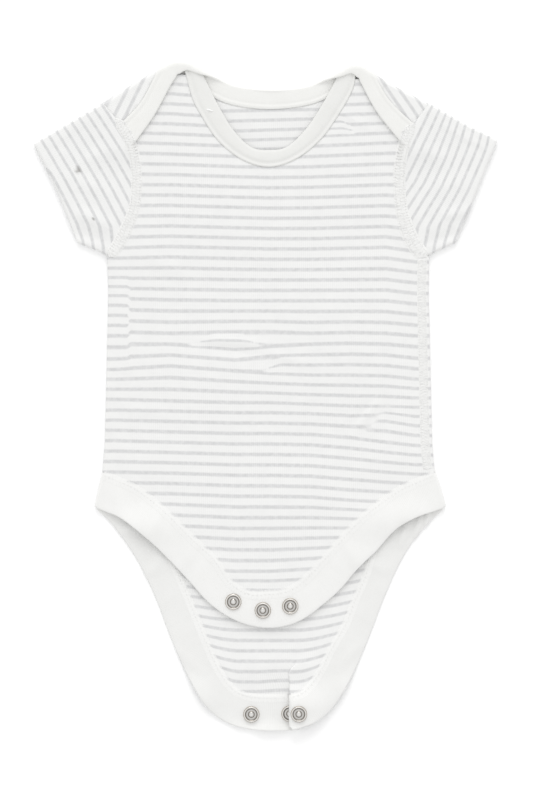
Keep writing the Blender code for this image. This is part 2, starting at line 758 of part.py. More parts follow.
for old in list(bpy.data.objects):
    bpy.data.objects.remove(old)
GARMENT = collection_for("baby_bodysuit")
CUTTERS = collection_for("cutters")

make_back_panel()
make_front_panel()
make_sleeve("sleeve_left", -1)
make_sleeve("sleeve_right", 1)
make_back_neck_binding()
make_front_neck_binding()
back_binding = make_back_leg_binding()
front_binding = make_front_leg_binding()
for snap in BACK_SNAPS:
    make_snap(snap, back_binding)
for snap in FRONT_SNAPS:
    make_snap(snap, front_binding)
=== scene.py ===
"""The looks of the baby bodysuit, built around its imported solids.

Every piece of cloth is drawn flat in millimetres, as in the part's own source, divided finely,
folded, laid and given its soft creases, and turned into a thin shell. Stripes, knit, stains and
seams are laid out in the cloth's own coordinates, so that they bend and fold with it.
"""

import math
import random
from collections import namedtuple
from functools import partial, reduce

import bpy
import numpy as np
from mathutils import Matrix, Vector, geometry, noise
from mathutils.bvhtree import BVHTree


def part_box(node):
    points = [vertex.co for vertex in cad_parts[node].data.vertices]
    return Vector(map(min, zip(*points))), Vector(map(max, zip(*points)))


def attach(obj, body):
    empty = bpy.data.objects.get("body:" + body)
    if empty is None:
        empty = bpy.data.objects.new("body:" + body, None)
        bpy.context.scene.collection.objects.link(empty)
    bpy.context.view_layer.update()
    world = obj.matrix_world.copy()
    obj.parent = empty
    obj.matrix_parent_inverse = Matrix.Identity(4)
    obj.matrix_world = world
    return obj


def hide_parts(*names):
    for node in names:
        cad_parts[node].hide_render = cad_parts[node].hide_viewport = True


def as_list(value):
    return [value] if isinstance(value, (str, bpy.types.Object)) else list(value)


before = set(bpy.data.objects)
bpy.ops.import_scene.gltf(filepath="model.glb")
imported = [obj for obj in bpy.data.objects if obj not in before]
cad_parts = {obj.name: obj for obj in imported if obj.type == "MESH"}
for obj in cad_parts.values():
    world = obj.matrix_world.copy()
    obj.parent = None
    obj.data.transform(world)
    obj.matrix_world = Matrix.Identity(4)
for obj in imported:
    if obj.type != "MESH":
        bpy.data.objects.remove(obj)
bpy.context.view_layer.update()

MM = 0.001
UP = Vector((0, 0, 1))


def rows(kind, *table):
    """A table whose columns are named by kind."""
    return tuple(kind(*row) for row in table)


# ---- sizes shared with the solids, mm ----
PANEL_WALL = 1.0
BAND_WALL = 1.4
LAYER_GAP = 0.4
FRONT_LEVEL = BAND_WALL + LAYER_GAP + BAND_WALL / 2
LAP_LEVEL = FRONT_LEVEL + BAND_WALL + LAYER_GAP
SIDE_ANGLE = math.pi / 2  # front and back turn toward each other at the body's sides

Edge = namedtuple("Edge", "name free_x free_y seam_x seam_y")  # a station across a binding
Spot = namedtuple("Spot", "name x y")

BODY_SIDE = rows(
    Spot, ("leg", 104.4, -66.6), ("hip", 99.6, -46), ("seat", 98.1, -28), ("waist", 97, 20),
    ("chest", 96, 62), ("underarm", 96.5, 83.4),
)
ARMHOLE = rows(
    Spot, ("underarm", 95.2, 83.4), ("curve", 89.3, 90.5), ("scye", 84.4, 100.5), ("lower", 80, 114),
    ("chest", 79, 134), ("lap end", 81.8, 150.5), ("yoke", 87.4, 162), ("cap", 92.4, 168.4),
    ("shoulder", 98, 175.2),
)
FRONT_NECK = rows(
    Edge, ("middle", 0, 147.3, 0, 137.1), ("curve", 11, 149.3, 15.5, 141.3),
    ("side", 22, 160, 30.5, 153), ("upper", 31.5, 175, 42, 169.5), ("top", 37.2, 186, 49.6, 184),
    ("end", 39.6, 191.2, 52, 196.8),
)
BACK_NECK = rows(
    Edge, ("middle", 0, 183.6, 0, 172), ("curve", 18, 184.9, 20.5, 174.1),
    ("rise", 29, 188.8, 34.5, 179.3), ("roll", 40.4, 199.4, 48, 190.2), ("peak", 52.3, 207.2, 56, 194.4),
    ("lap top", 66, 205.8, 67.5, 195.4), ("lap", 88, 206.2, 86, 195.6),
    ("lap end", 111.3, 203.4, 104.2, 191),
)
FRONT_LEG = rows(
    Edge, ("middle", 0, -138.9, 0, -117.4), ("crotch", 18.3, -135.4, 11.5, -115.4),
    ("turn", 35.5, -124.8, 20.8, -108.9), ("low thigh", 50.3, -108.6, 34.8, -94.3),
    ("thigh", 68.5, -89.4, 55.5, -72.3), ("hip", 86.5, -74.4, 77, -56),
    ("corner", 97.5, -69.3, 92, -49), ("side", 104.4, -66.6, 99.6, -46),
)
BACK_LEG = rows(
    Edge, ("middle", 0, -200.4, 0, -180), ("turn", 21, -197.6, 13, -179),
    ("corner", 36, -188.3, 22.3, -174.2), ("tail", 48.5, -169, 31.5, -160.5),
    ("lower", 59.5, -144.5, 41.2, -137.5), ("mid", 68.5, -121, 51.2, -113),
    ("thigh", 79.2, -98.4, 62, -88.5), ("hip", 92.5, -78.6, 79.5, -63), ("side", 104.4, -66.6, 99.6, -46),
)
# The two sides of a binding aren't quite alike: at one height and for a reach above and below
# it, its seam or free edge lies further from the panel by this much, or nearer if negative.
Uneven = namedtuple("Uneven", "name side edge y reach out")
UNEVEN_FROM = 14.0  # away from the middle line
UNEVEN = {
    FRONT_LEG: rows(
        Uneven, ("left seam", -1, "seam", -78, 24, 1.6), ("left seam low", -1, "seam", -110, 14, 3.2),
        ("right edge high", 1, "free", -81, 15, -2.2), ("right edge", 1, "free", -106, 20, -1.6),
        ("right edge low", 1, "free", -126, 16, -2.2),
    ),
    BACK_LEG: rows(
        Uneven, ("right seam", 1, "seam", -106, 24, 2.8), ("right seam low", 1, "seam", -132, 24, 2.8)
    ),
    FRONT_NECK: rows(
        Uneven, ("left seam", -1, "seam", 188, 16, 1.7), ("right seam", 1, "seam", 190, 14, -0.6)
    ),
}
SLEEVE_TIP = Vector((138.9, 151.2))
SLEEVE_CORNER = Vector((112.8, 91.6))
SLEEVE_UNDERARM = Vector((96.2, 84.4))

# shoulder fold: two straight folds that meet in a round peak
SHOULDER_NORMAL = Vector((0.4985, 0.8669))
NECK_NORMAL = Vector((-0.490, 0.8717))
PEAK_CENTRE = Vector((52.6, 186.0))
PEAK_RADIUS = 13.3
TURN_RADIUS = (LAP_LEVEL - BAND_WALL / 2) / 2
HALF_TURN = math.pi * TURN_RADIUS  # of cloth, around the shoulder fold
FOLD_DISTANCE = PEAK_RADIUS - TURN_RADIUS - BAND_WALL / 2
ROLL_END = 33.0
ROLL_FADE = 0.3
MIDDLE_ROUND = 12.0
FOLD_LOWEST = 160.0
FOLD_CLEARANCE = 0.6
YOKE_INNER = 58.0
YOKE_OUTER = 95.8
FOLD_OUTER = 96.6
LAP_CORNER = 2.0
LAP_SETTLE = 0.3  # the lap lies this much closer to the front than its solid
PEAK_GAP_INNER = 46.0  # the front panel stops short of each peak, which leaves a dark slit
PEAK_GAP_OUTER = 62.0
PEAK_GAP_LOW = 191.6

# pleat in the back flap: the right part lies over the left
PLEAT_EDGE = 11.4
PLEAT_DEPTH = 6.6
PLEAT_TOP = -150.0
PLEAT_FULL = -182.0
UNDER_RADIUS = 1.55
OVER_RADIUS = 0.9
PLEAT_REST = 22.0
PLEAT_START = PLEAT_EDGE + OVER_RADIUS + BAND_WALL / 2
PLEAT_CALM = -8.0
FOLD_SHARE = 0.4
TURNED_AT = 0.6
OVERLAP_FROM = 0.45
GENTLE_TURN = 2.0
FLAT_BETWEEN = 1.5
PLEAT_STRIP = GENTLE_TURN * (UNDER_RADIUS + OVER_RADIUS) + FLAT_BETWEEN
PLEAT_END = PLEAT_START + PLEAT_STRIP
PRESSED = 0.2  # of the pleat's height, above the binding where it is pressed flat
LEAST_TURN = 0.001
PLEAT_CLEAR = 0.2  # a point this near to the pleat's end belongs to the pleat

# ---- fineness of the shells, mm ----
EDGE_STEP = 1.2
GRID = 2.0
CLOSE_GRID = GRID * 0.7  # along the folds
FINE = 0.55  # across the folds
EDGE_CLEAR = 0.7  # inner points stay this far from an outline
POINT_CLEAR = 0.3  # and an outline's points from each other
MIDDLE_CLEAR = 0.01  # a left half's points are at least this far from the middle line
LOWEST = 0.02  # the cloth's underside is at least this high


def ease(value):
    """0 below 0, 1 above 1, and a smooth rise between."""
    value = clamped(value)
    return value * value * (3 - 2 * value)


def clamped(value):
    return min(max(value, 0.0), 1.0)


def bell(value):
    """1 at 0, falling smoothly to 0 at 1 and at -1."""
    return ease(1 - abs(value))


def gauss(value):
    return math.exp(-(value**2))


def curve_through(points, before_first=None):
    """Points about EDGE_STEP apart on a smooth curve through the given ones."""
    points = [Vector(p) for p in points]
    ends = [before_first or 2 * points[0] - points[1]] + points + [2 * points[-1] - points[-2]]
    path = []
    for a, b, c, d in zip(ends, ends[1:], ends[2:], ends[3:]):
        count = max(1, round((c - b).length / EDGE_STEP))
        for t in (k / count for k in range(count)):
            square, cube = 2 * a - 5 * b + 4 * c - d, 3 * b - a - 3 * c + d
            path.append(0.5 * (2 * b + (c - a) * t + square * t**2 + cube * t**3))
    return path + [points[-1]]


def mirrored(station):
    return Vector((-station[0], station[1], -station[2], station[3]))


def stations(table, side=1):
    """Both edges of one half of a binding, from the middle line outward, as for the right half."""
    points = [Vector(row[1:]) for row in table]
    found = curve_through(points, mirrored(points[1]))
    for change in UNEVEN.get(table, ()):
        edge = slice(2, 4) if change.edge == "seam" else slice(0, 2)
        for station in found if change.side == side else ():
            free, seam, old = Vector(station[:2]), Vector(station[2:]), Vector(station[edge])
            out = (free - seam).normalized() * ease(free.x / UNEVEN_FROM)
            station[edge] = old + out * change.out * bell((old.y - change.y) / change.reach)
    return found


def seam_line(table, side=1):
    return [Vector(station[2:]) for station in stations(table, side)]


def armhole_line():
    return curve_through([(spot.x, spot.y) for spot in ARMHOLE])


def side_reach(y):
    """Half the garment's width at a height, to the outside of the cloth."""
    for low, high in zip(BODY_SIDE, BODY_SIDE[1:]):
        if y <= high.y or high is BODY_SIDE[-1]:
            return low.x + (high.x - low.x) * (y - low.y) / (high.y - low.y)


def both_sides(half_of):
    """An outline from its two halves, each drawn as for the right, from the middle back to it."""
    return half_of(1) + [Vector((-p.x, p.y)) for p in reversed(half_of(-1)) if p.x > MIDDLE_CLEAR]


def spaced(start, end, step):
    count = max(1, round(abs(end - start) / step))
    return [start + (end - start) * k / count for k in range(count + 1)]


def lengths_along(line):
    """The distance along a line at each of its points."""
    along = [0.0]
    for before, point in zip(line, line[1:]):
        along.append(along[-1] + (point - before).length)
    return along


# ---- folding and laying ----
Step = namedtuple("Step", "start length")
SHOULDER_UP = Step(140.0, 40.0)
NECK_OUT = Step(42.0, 24.0)
SLEEVE_OUT = Step(84.0, 50.0)
SLEEVE_UP = Step(60.0, 30.0)
CROTCH_DOWN = Step(70.0, 50.0)
TILT_UP = Step(170.0, 20.0)
PRESSED_DOWN = Step(170.0, 18.0)
BODY_SHIFT = 1.8
SHOULDER_SHIFT = -1.4
NECK_SHIFT = 2.3
CROTCH_SHIFT = 0.8
SHOULDER_TILT = -0.02
CORNER_OUT = 2.0  # the right hip is drawn out by this
CORNER_AT = -66.0
CORNER_REACH = 30.0
CORNER_FROM = Step(70.0, 24.0)


def rise(step, value):
    return ease((value - step.start) / step.length)


def lay(x, y):
    """Where a point of the even pattern ends up on the garment as it was spread."""
    near_neck = 1 - rise(NECK_OUT, abs(x))
    on_sleeve = rise(SLEEVE_OUT, abs(x)) * rise(SLEEVE_UP, y)
    shift = BODY_SHIFT + rise(SHOULDER_UP, y) * (NECK_SHIFT * near_neck + SHOULDER_SHIFT)
    shift = shift * (1 - on_sleeve) + CROTCH_SHIFT * rise(CROTCH_DOWN, -y)
    shift += CORNER_OUT * bell((y - CORNER_AT) / CORNER_REACH) * rise(CORNER_FROM, x)
    return x + shift, y + SHOULDER_TILT * x * rise(TILT_UP, y)


def shoulder_distance(point):
    """How far a point lies outside the shoulder's fold line, and the direction across it."""
    across = point - PEAK_CENTRE
    low, angle, high = (math.atan2(v.y, v.x) for v in (SHOULDER_NORMAL, across, NECK_NORMAL))
    if low < angle < high:
        return across.length - FOLD_DISTANCE, across.normalized()
    if point.x > PEAK_CENTRE.x:
        return across.dot(SHOULDER_NORMAL) - FOLD_DISTANCE, SHOULDER_NORMAL
    faded = ROLL_FADE * max(0.0, ROLL_END - point.x)
    return across.dot(NECK_NORMAL) - FOLD_DISTANCE - faded, NECK_NORMAL


def rounded_middle(x):
    """The distance from the middle line, made smooth across it."""
    return x if x > MIDDLE_ROUND else (MIDDLE_ROUND + x * x / MIDDLE_ROUND) / 2


def turn_over(x, y, low):
    """Turn what lies past the shoulder fold over onto the front; also how far it has turned."""
    point = Vector((abs(x), y))
    distance, across = shoulder_distance(Vector((rounded_middle(point.x), y)))
    if y < FOLD_LOWEST or distance <= 0:
        return x, y, low, 0.0
    angle = min(distance / TURN_RADIUS, math.pi)
    past = max(0.0, distance - HALF_TURN)
    point += across * (TURN_RADIUS * math.sin(angle) - past - distance)
    height = low + (LAP_LEVEL - low) * (1 - math.cos(angle)) / 2
    return math.copysign(point.x, x), point.y, height, (1 - math.cos(angle)) / 2


def unfolded(point):
    """The place in the flat cut of a point that lies turned over on the front."""
    distance, across = shoulder_distance(point)
    return point + across * (HALF_TURN - 2 * distance)


def pleat_shape(y):
    """The pleat at a height: how far its folds turn, the length between them, where it starts."""
    strength = ease((PLEAT_TOP - y) / (PLEAT_TOP - PLEAT_FULL))
    turn = max(math.pi * ease(strength / TURNED_AT), LEAST_TURN)
    overlap = PLEAT_DEPTH * ease((strength - OVERLAP_FROM) / (1 - OVERLAP_FROM))
    return turn, overlap, PLEAT_START + overlap


def pleat_point(share, y):
    """Place and lift on the pleat's cross-section, where share runs from 0 to 1 along it."""
    turn, overlap, x = pleat_shape(y)
    under, over = (radius * max(turn, GENTLE_TURN) / turn for radius in (UNDER_RADIUS, OVER_RADIUS))
    first = turn * clamped(share / FOLD_SHARE)
    middle = clamped((share - FOLD_SHARE) / (1 - 2 * FOLD_SHARE)) * max(overlap, FLAT_BETWEEN)
    last = turn - turn * clamped((share - 1 + FOLD_SHARE) / FOLD_SHARE)
    x += under * math.sin(first) + middle * math.cos(turn) + over * (math.sin(turn) - math.sin(last))
    lift = under * (1 - math.cos(first)) + middle * math.sin(turn)
    return x, lift + over * (math.cos(last) - math.cos(turn))


def fold_pleat(x, y):
    """Fold the flat back flap at its pleat: place and lift of a point."""
    start = pleat_shape(y)[2]
    if x <= PLEAT_START:
        pushed = (start - PLEAT_START) * ease((x - PLEAT_CALM) / (PLEAT_START - PLEAT_CALM))
        return x + pushed, 0.0
    if x < PLEAT_END:
        return pleat_point((x - PLEAT_START) / PLEAT_STRIP, y)
    end, lift = pleat_point(1, y)
    x += end - PLEAT_END
    return x, lift * (1 - ease((x - start - UNDER_RADIUS - BAND_WALL) / PLEAT_REST))


def opened_x(x, y):
    """Where a point that lies right of the pleat is in the flat flap, or None inside the pleat."""
    if x <= PLEAT_EDGE or y > PLEAT_TOP:
        return x
    end = pleat_point(1, y)[0]
    return x + PLEAT_END - end if x > end + PLEAT_CLEAR else None


# ---- creases and swells ----
# Places are on the garment as it lies, mm. A crease runs from 1 to 2 and dies out at both ends;
# its width is to each side, and a trough's height is negative.
Crease = namedtuple("Crease", "name x1 y1 x2 y2 width height")
Swell = namedtuple("Swell", "name x y reach_x reach_y height")

FRONT_SWELLS = rows(
    Swell, ("chest", -20, 105, 60, 30, 0.5), ("belly left", -38, 10, 40, 34, 0.8),
    ("belly right", 44, 30, 36, 40, 0.9), ("low belly", 4, -60, 46, 26, 0.7),
    ("left hip", -72, -38, 20, 16, 0.5), ("right hip", 74, -40, 18, 14, 0.6),
    ("left thigh", -62, -78, 22, 12, 0.9), ("left leg opening", -80, -80, 15, 11, 3),
    ("left leg low", -62, -96, 12, 10, 0.8), ("right thigh", 66, -76, 20, 12, 1.1),
    ("right leg opening", 88, -74, 15, 10, 2), ("right leg low", 62, -98, 14, 10, 0.7),
)
FRONT_CREASES = rows(
    Crease, ("lens top", -44, 34.5, 6, 30.5, 2.2, 0.55), ("lens bottom", -42, 29, 2, 25, 2.4, -0.45),
    ("lens tail", -6, 27.5, 34, 17.5, 2.6, 0.45), ("left press", -82, 96, -81, -54, 1.3, -0.35),
    ("right press", 84.6, 100, 85.2, 34, 1.2, 0.6), ("hip fold", 68.5, -1, 54, -22, 1.8, 0.7),
    ("hip fold foot", 64, -2, 50, -20, 2.2, -0.35), ("yoke pinch", 40, 173, 66, 158, 2, 0.4),
    ("left underarm", -80, 88, -42, 70, 5, 0.45), ("right underarm", 80, 84, 44, 72, 6, 0.4),
    ("left waist", -88, -6, -48, -14, 4, 0.35), ("crotch left", -34, -94, -14, -112, 3, 0.3),
    ("crotch right", 38, -90, 20, -112, 3.5, 0.35), ("left leg wave 1", -90, -50, -86, -76, 4, 0.5),
    ("left leg wave 2", -62, -64, -72, -96, 5, 0.6), ("left leg wave 3", -40, -86, -56, -112, 4, 0.4),
    ("right leg wave 1", 88, -50, 84, -78, 4, 0.6), ("right leg wave 2", 66, -60, 78, -92, 5, 0.5),
    ("right leg wave 3", 44, -82, 58, -106, 4, 0.5),
)
BACK_SWELLS = rows(
    Swell, ("flap", 2, -162, 22, 9, 0.8), ("left tail", -44, -150, 9, 16, 0.6),
    ("right tail", 46, -152, 9, 14, 0.7), ("left tail edge", -46, -184, 14, 14, 4.6),
    ("right tail edge", 50, -180, 12, 13, 3.6), ("crotch edge", 0, -209, 38, 9, 8.5),
)
BACK_CREASES = rows(
    Crease, ("left inner fold", -76, -76, -88, -82, 3, 0.9), ("right inner fold", 80, -92, 86, -74, 1.8, 1.1),
    ("right inner fold 2", 89, -86, 94, -70, 1.3, 1.2),
    ("right inner fold 3", 95.5, -80, 98.5, -66, 1.2, 1.1),
    ("left tail fold", -36, -168, -56, -150, 3, 0.4), ("right tail fold", 40, -166, 60, -146, 3, 0.5),
    ("left side pull", -60, -96, -74, -110, 4, 0.6), ("right side pull", 58, -98, 76, -106, 4, 0.6),
)
SNAP_CALM = Step(5.6, 6.0)  # the cloth is flat at each snap, and free again past this
HANDLED_SIZE = 34.0  # of the faint unevenness left by hands
HANDLED = 0.22
HANDLED_FRONT, HANDLED_BACK, HANDLED_SLEEVE = 1.0, 7.0, 3.0  # each layer's place in the noise
DEEPEST = -0.15  # of the front's troughs
FREE_BACK = Step(132.0, 14.0)  # below the front the flap lies free
CREASE_ROUND = 0.8  # a crease's height along it is a sine to this power


def crease_height(crease, x, y):
    run = Vector((crease.x2 - crease.x1, crease.y2 - crease.y1))
    away = Vector((x - crease.x1, y - crease.y1))
    along = away.dot(run) / run.length_squared
    if not 0 < along < 1:
        return 0.0
    across = (away.x * run.y - away.y * run.x) / run.length
    return crease.height * gauss(across / crease.width) * math.sin(math.pi * along) ** CREASE_ROUND


def swell_height(swell, x, y):
    across, along = (x - swell.x) / swell.reach_x, (y - swell.y) / swell.reach_y
    return swell.height * math.exp(-(across**2) - along**2)


def box_centre(node):
    low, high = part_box(node)
    return (Vector(low) + Vector(high)) / (2 * MM)


SNAPS = {f"snap_{side}_{k}": box_centre(f"snap_{side}_{k}") for side in ("front", "back") for k in (1, 2, 3)}


def calm_at_snaps(x, y, side):
    away = (math.hypot(x - centre.x, y - centre.y) for name, centre in SNAPS.items() if side in name)
    return rise(SNAP_CALM, min(away))


def handled(x, y, seed):
    return HANDLED * noise.noise(Vector((x / HANDLED_SIZE, y / HANDLED_SIZE, seed)))


def shaped(swells, creases, x, y):
    return sum(swell_height(s, x, y) for s in swells) + sum(crease_height(c, x, y) for c in creases)


def front_lift(x, y):
    """How far the front layer is raised by its swells and creases, at a place on the garment."""
    height = shaped(FRONT_SWELLS, FRONT_CREASES, x, y) + handled(x, y, HANDLED_FRONT)
    return max(height, DEEPEST) * calm_at_snaps(x, y, "front")


def back_lift(x, y):
    """The same for the back layer, which stays on the floor."""
    height = shaped(BACK_SWELLS, BACK_CREASES, x, y)
    height += max(0.0, handled(x, y, HANDLED_BACK)) * rise(FREE_BACK, -y)
    return max(height, 0.0) * calm_at_snaps(x, y, "back")


# ---- places of the layers ----
SIDE_CALM = Step(1.0, 7.0)  # a front piece has no swells this near its side, and then they grow
ROLL_OVER = 0.1  # the sides are rolled as far as this above the underarm


def side_radius(wall):
    return (FRONT_LEVEL - wall / 2) / 2


def turn_side(x, y, level, wall, upward):
    """Roll what lies past the body's side up or down toward the side seam."""
    radius = side_radius(wall)
    start = side_reach(y) - radius - wall / 2
    angle = (abs(x) - start) / radius
    if angle <= 0 or y > BODY_SIDE[-1].y + ROLL_OVER:
        return x, level
    turned = min(angle, SIDE_ANGLE)
    rise_by = radius * (1 - math.cos(turned)) + (angle - turned) * radius
    return math.copysign(start + radius * math.sin(turned), x), level + upward * rise_by


def front_place(wall):
    """The function that lays a flat point of a front piece, with a given wall, on the garment."""

    def place(x, y):
        flat, level = turn_side(x, y, FRONT_LEVEL, wall, -1)
        px, py = lay(flat, y)
        inward = side_reach(y) - abs(flat) if y < BODY_SIDE[-1].y else math.inf
        return Vector((px, py, level + front_lift(px, py) * rise(SIDE_CALM, inward)))

    return place


def back_place(wall):
    """The same for a back piece, which is pleated at the crotch and turned over at the shoulders."""

    def place(x, y):
        level = wall / 2
        if y < PLEAT_TOP:
            x, lift = fold_pleat(x, y)
            level += lift * (PRESSED + (1 - PRESSED) * rise(PRESSED_DOWN, -y))
        flat, level = turn_side(x, y, level, wall, 1)
        flat, y, level, turned = turn_over(flat, y, level)
        px, py = lay(flat, y)
        level += back_lift(px, py) if y < FOLD_LOWEST else 0.0
        level += (front_lift(px, py) - LAP_SETTLE) * turned if turned else 0.0
        return Vector((px, py, level))

    return place


NUDGE = 0.05


def normal_at(place, x, y):
    across = place(x + NUDGE, y) - place(x - NUDGE, y)
    along = place(x, y + NUDGE) - place(x, y - NUDGE)
    return across.cross(along).normalized()


# ---- stripes ----
# The middle line of some of the front's stripes, from the left side to the right one. Its
# columns are the places across the garment, and the stripes between two rows are even.
StripeRow = namedtuple(
    "StripeRow", "index side_left left inner_left middle inner_right right far_right side_right"
)
STRIPE_COLUMNS = (-90, -57, -18, 3, 27, 51, 72, 90)
FRONT_STRIPES = rows(
    StripeRow,
    (-15, 181, 181, 178, 178, 179, 180.5, 181, 181),
    (-10, 152, 151, 149.5, 149, 149.5, 150.5, 151.5, 152),
    (0, 88.5, 89.5, 88.5, 88, 88, 88.5, 89, 86.5),
    (5, 58.5, 57.5, 57, 57, 57, 57, 57, 55),
    (8, 38.5, 37.5, 38.5, 38.5, 37.5, 38, 37.5, 36),
    (9, 31, 31, 28, 29.5, 31, 31.5, 31, 29.5),
    (10, 23, 24.5, 21.5, 24, 24.5, 25, 24.5, 22.5),
    (11, 16, 18, 15, 13.5, 12.5, 12.5, 12, 10),
    (14, -2, -3, -4, -4, -5, -6, -6.3, -6.8),
    (15, -8.5, -9, -10, -10, -10.5, -11.8, -11.3, -14.1),
    (16, -14.5, -15.2, -16.2, -16.2, -16.8, -18.2, -18.8, -21.7),
    (17, -20.5, -21.5, -22.5, -22.5, -23, -25, -27.7, -29.7),
    (23, -58, -58.5, -60, -60, -60.5, -62.5, -63.5, -64),
    (30, -102.5, -102.5, -105, -105, -103.5, -101, -101, -101),
    (32, -114, -114, -116, -116.4, -115.6, -112, -112, -112),
)
# Where a crease hides part of the cloth, one side of it has a stripe more than the other. The
# extra one comes in between two stripes' numbers, from left to right, and fades at those ends,
# where it splits from the last one over a length. Its left end leans by so much a stripe, and the
# stripes grow faint there.
Fault = namedtuple("Fault", "name left right first last fade split lean faint")
FAULTS = rows(
    Fault,
    ("left press", -200, -82, 2.3, 11.3, 0.8, 0.1, 0, 0),
    ("lens", -45, -1, 8.05, 9, 7, 17, 0, 0.2),
    ("centre right", -1, 200, 10, 11, 5, 12, 0, 0.3),
    ("hip fold", 73, 200, 14, 17, 5, 0.1, -5.5, 0.7),
    ("yoke pinch", 30, 53, -13.1, -11, 4, 9, 0, 0.1),
)
FAINT_REACH = 7.0
FAULT_BLUR = 0.36  # of the wave, where the stripes fade
FAULT_NARROW = 0.7  # how much narrower the span of a fault is where it splits
# The back's stripes are level in the flat cut.
Course = namedtuple("Course", "index y")
BACK_STRIPES = rows(
    Course, (-3, 189), (-1, 177.2), (0, 171.3), (2, 159.4), (4, 148.1),
    (51, -140.4), (54, -159), (56, -171.4), (58, -183),
)
# The flap's stripes curve up toward the leg bindings, and tilt up to the right as the yoke's do.
Smile = namedtuple("Smile", "y curve tilt")
SMILES = rows(
    Smile, (-174, 0.034, 0), (-162, 0.018, 0), (-156, 0.0125, 0), (-144, 0.0075, 0),
    (-132, 0.0044, 0.010), (-115, 0.0026, 0.024), (-95, 0.0022, 0.024), (-55, 0, 0),
    (144, 0, 0), (152, 0, 0.035), (166, 0, 0.028), (172, 0, 0.018), (180, 0, 0),
)
SMILE_FROM = 16.5
SMILE_MIDDLE = 1.5
PULL = 0.9  # the stripes' pull up toward the pleat, on its left
PULL_FROM = -6.0
PULL_DOWN = Step(156.0, 14.0)
SHOULDER_SLOPE = 0.024
SHOULDER_SLOPE_UP = Step(172.0, 12.0)
# Sleeve stripes run along the hem: the first one's distance from it, and the pitch, at some
# shares of the way down from the shoulder.
SleeveStripe = namedtuple("SleeveStripe", "share left_first left_pitch right_first right_pitch")
SLEEVE_STRIPES = rows(
    SleeveStripe, (0, -0.2, 5.2, 0.7, 4.95), (0.12, 0.3, 5.3, -0.8, 5.2), (0.25, 0.8, 5.4, -1, 5.35),
    (0.5, 1.9, 5.6, -0.5, 5.45), (0.8, 3.5, 5.75, 1.2, 6.05), (1, 2.6, 4.3, 0.9, 4.8),
)
STRIPES_PULLED = 1.7  # how far the right sleeve's stripes are pulled off the hem near its top fold
PULLED_AT = 25.0
PULLED_REACH = 17.0
PULLED_SHARE = 0.35
LEFT_HEM_WHITE = 0.16  # no stripe shows at the hem's edge down to these shares
RIGHT_HEM_WHITE = 0.5
HEM_WHITE_FADE = 0.16


def phase_between(value, places, indices):
    """A stripe's number at a place, between stripes whose places fall from first to last."""
    k = next((k for k in range(len(places) - 2) if value >= places[k + 1]), len(places) - 2)
    share = (places[k] - value) / (places[k] - places[k + 1])
    return indices[k] + share * (indices[k + 1] - indices[k])


def front_phase(x, y):
    places = [np.interp(x, STRIPE_COLUMNS, row[1:]) for row in FRONT_STRIPES]
    return phase_between(y, places, [row.index for row in FRONT_STRIPES])


def front_twist(x, phase):
    """The turn of the stripe wave that the faults add, as a cosine and a sine, and its blur."""
    turn = complex(1, 0)
    for fault in FAULTS:
        length = fault.last - fault.first
        within = min(max(phase - fault.first, 0.0), length)
        inside_by = min(x - fault.left - fault.lean * within, fault.right - x)
        weight = ease(0.5 + inside_by / fault.fade)
        span = length * (1 - FAULT_NARROW * (1 - ease(inside_by / fault.split)))
        angle = 2 * math.pi * clamped(1 - (fault.last - phase) / span)
        turn *= 1 - weight + weight * complex(math.cos(angle), math.sin(angle))
        beyond = max(fault.first - phase, phase - fault.last + 1, 0.0)
        turn *= 1 - fault.faint * bell(inside_by / FAINT_REACH) * ease(1 - beyond)
    return turn.real, turn.imag, FAULT_BLUR * (1 - abs(turn))


def back_phase(flat_x, flat_y, x):
    out = max(0.0, abs(x - SMILE_MIDDLE) - SMILE_FROM)
    heights, curves, tilts = zip(*SMILES)
    y = flat_y - out * out * np.interp(flat_y, heights, curves) - x * np.interp(flat_y, heights, tilts)
    if flat_x < PLEAT_START:
        y -= PULL * ease((x - PULL_FROM) / (PLEAT_EDGE - PULL_FROM)) * rise(PULL_DOWN, -flat_y)
    y += SHOULDER_SLOPE * flat_x * rise(SHOULDER_SLOPE_UP, flat_y)
    indices, places = zip(*BACK_STRIPES)
    return phase_between(y, places, indices)


def sleeve_phase(distance, share, side):
    shares, *columns = zip(*SLEEVE_STRIPES)
    columns, white_to = (columns[:2], LEFT_HEM_WHITE) if side < 0 else (columns[2:], RIGHT_HEM_WHITE)
    first, pitch = (np.interp(share, shares, column) for column in columns)
    if side > 0:
        near = bell((distance - PULLED_AT) / PULLED_REACH)
        distance -= STRIPES_PULLED * near * ease(1 - share / PULLED_SHARE)
    phase = (distance - first) / pitch
    return phase + ease(1 - (share - white_to) / HEM_WHITE_FADE) * max(0.0, 0.5 - phase)


# ---- meshes ----
CLOTH_SHARP = math.radians(60)
RIM_ROUND = 0.3  # of the wall, that a shell's edge stands out
TINY = 1e-9
ROW_HEIGHT = 0.866  # of a grid of even triangles
FILL_INSIDE = 1  # what the triangulation gives: the triangles inside the outline
JOINED = 0.0001  # its tolerance, mm


def cloth_mesh(name, points, faces, material, attributes=None, sharp=CLOTH_SHARP):
    """An object from points in millimetres, with its point attributes."""
    mesh = bpy.data.meshes.new(name)
    mesh.from_pydata([Vector(p) * MM for p in points], [], faces)
    for key, values in (attributes or {}).items():
        values = np.asarray(values, dtype=np.float32)
        kind, field = ("FLOAT", "value") if values.ndim == 1 else ("FLOAT_VECTOR", "vector")
        mesh.attributes.new(key, kind, "POINT").data.foreach_set(field, values.ravel())
    mesh.validate()
    mesh.shade_smooth()
    mesh.set_sharp_from_angle(angle=sharp)
    mesh.materials.append(material)
    thing = bpy.data.objects.new(name, mesh)
    bpy.context.scene.collection.objects.link(thing)
    return thing


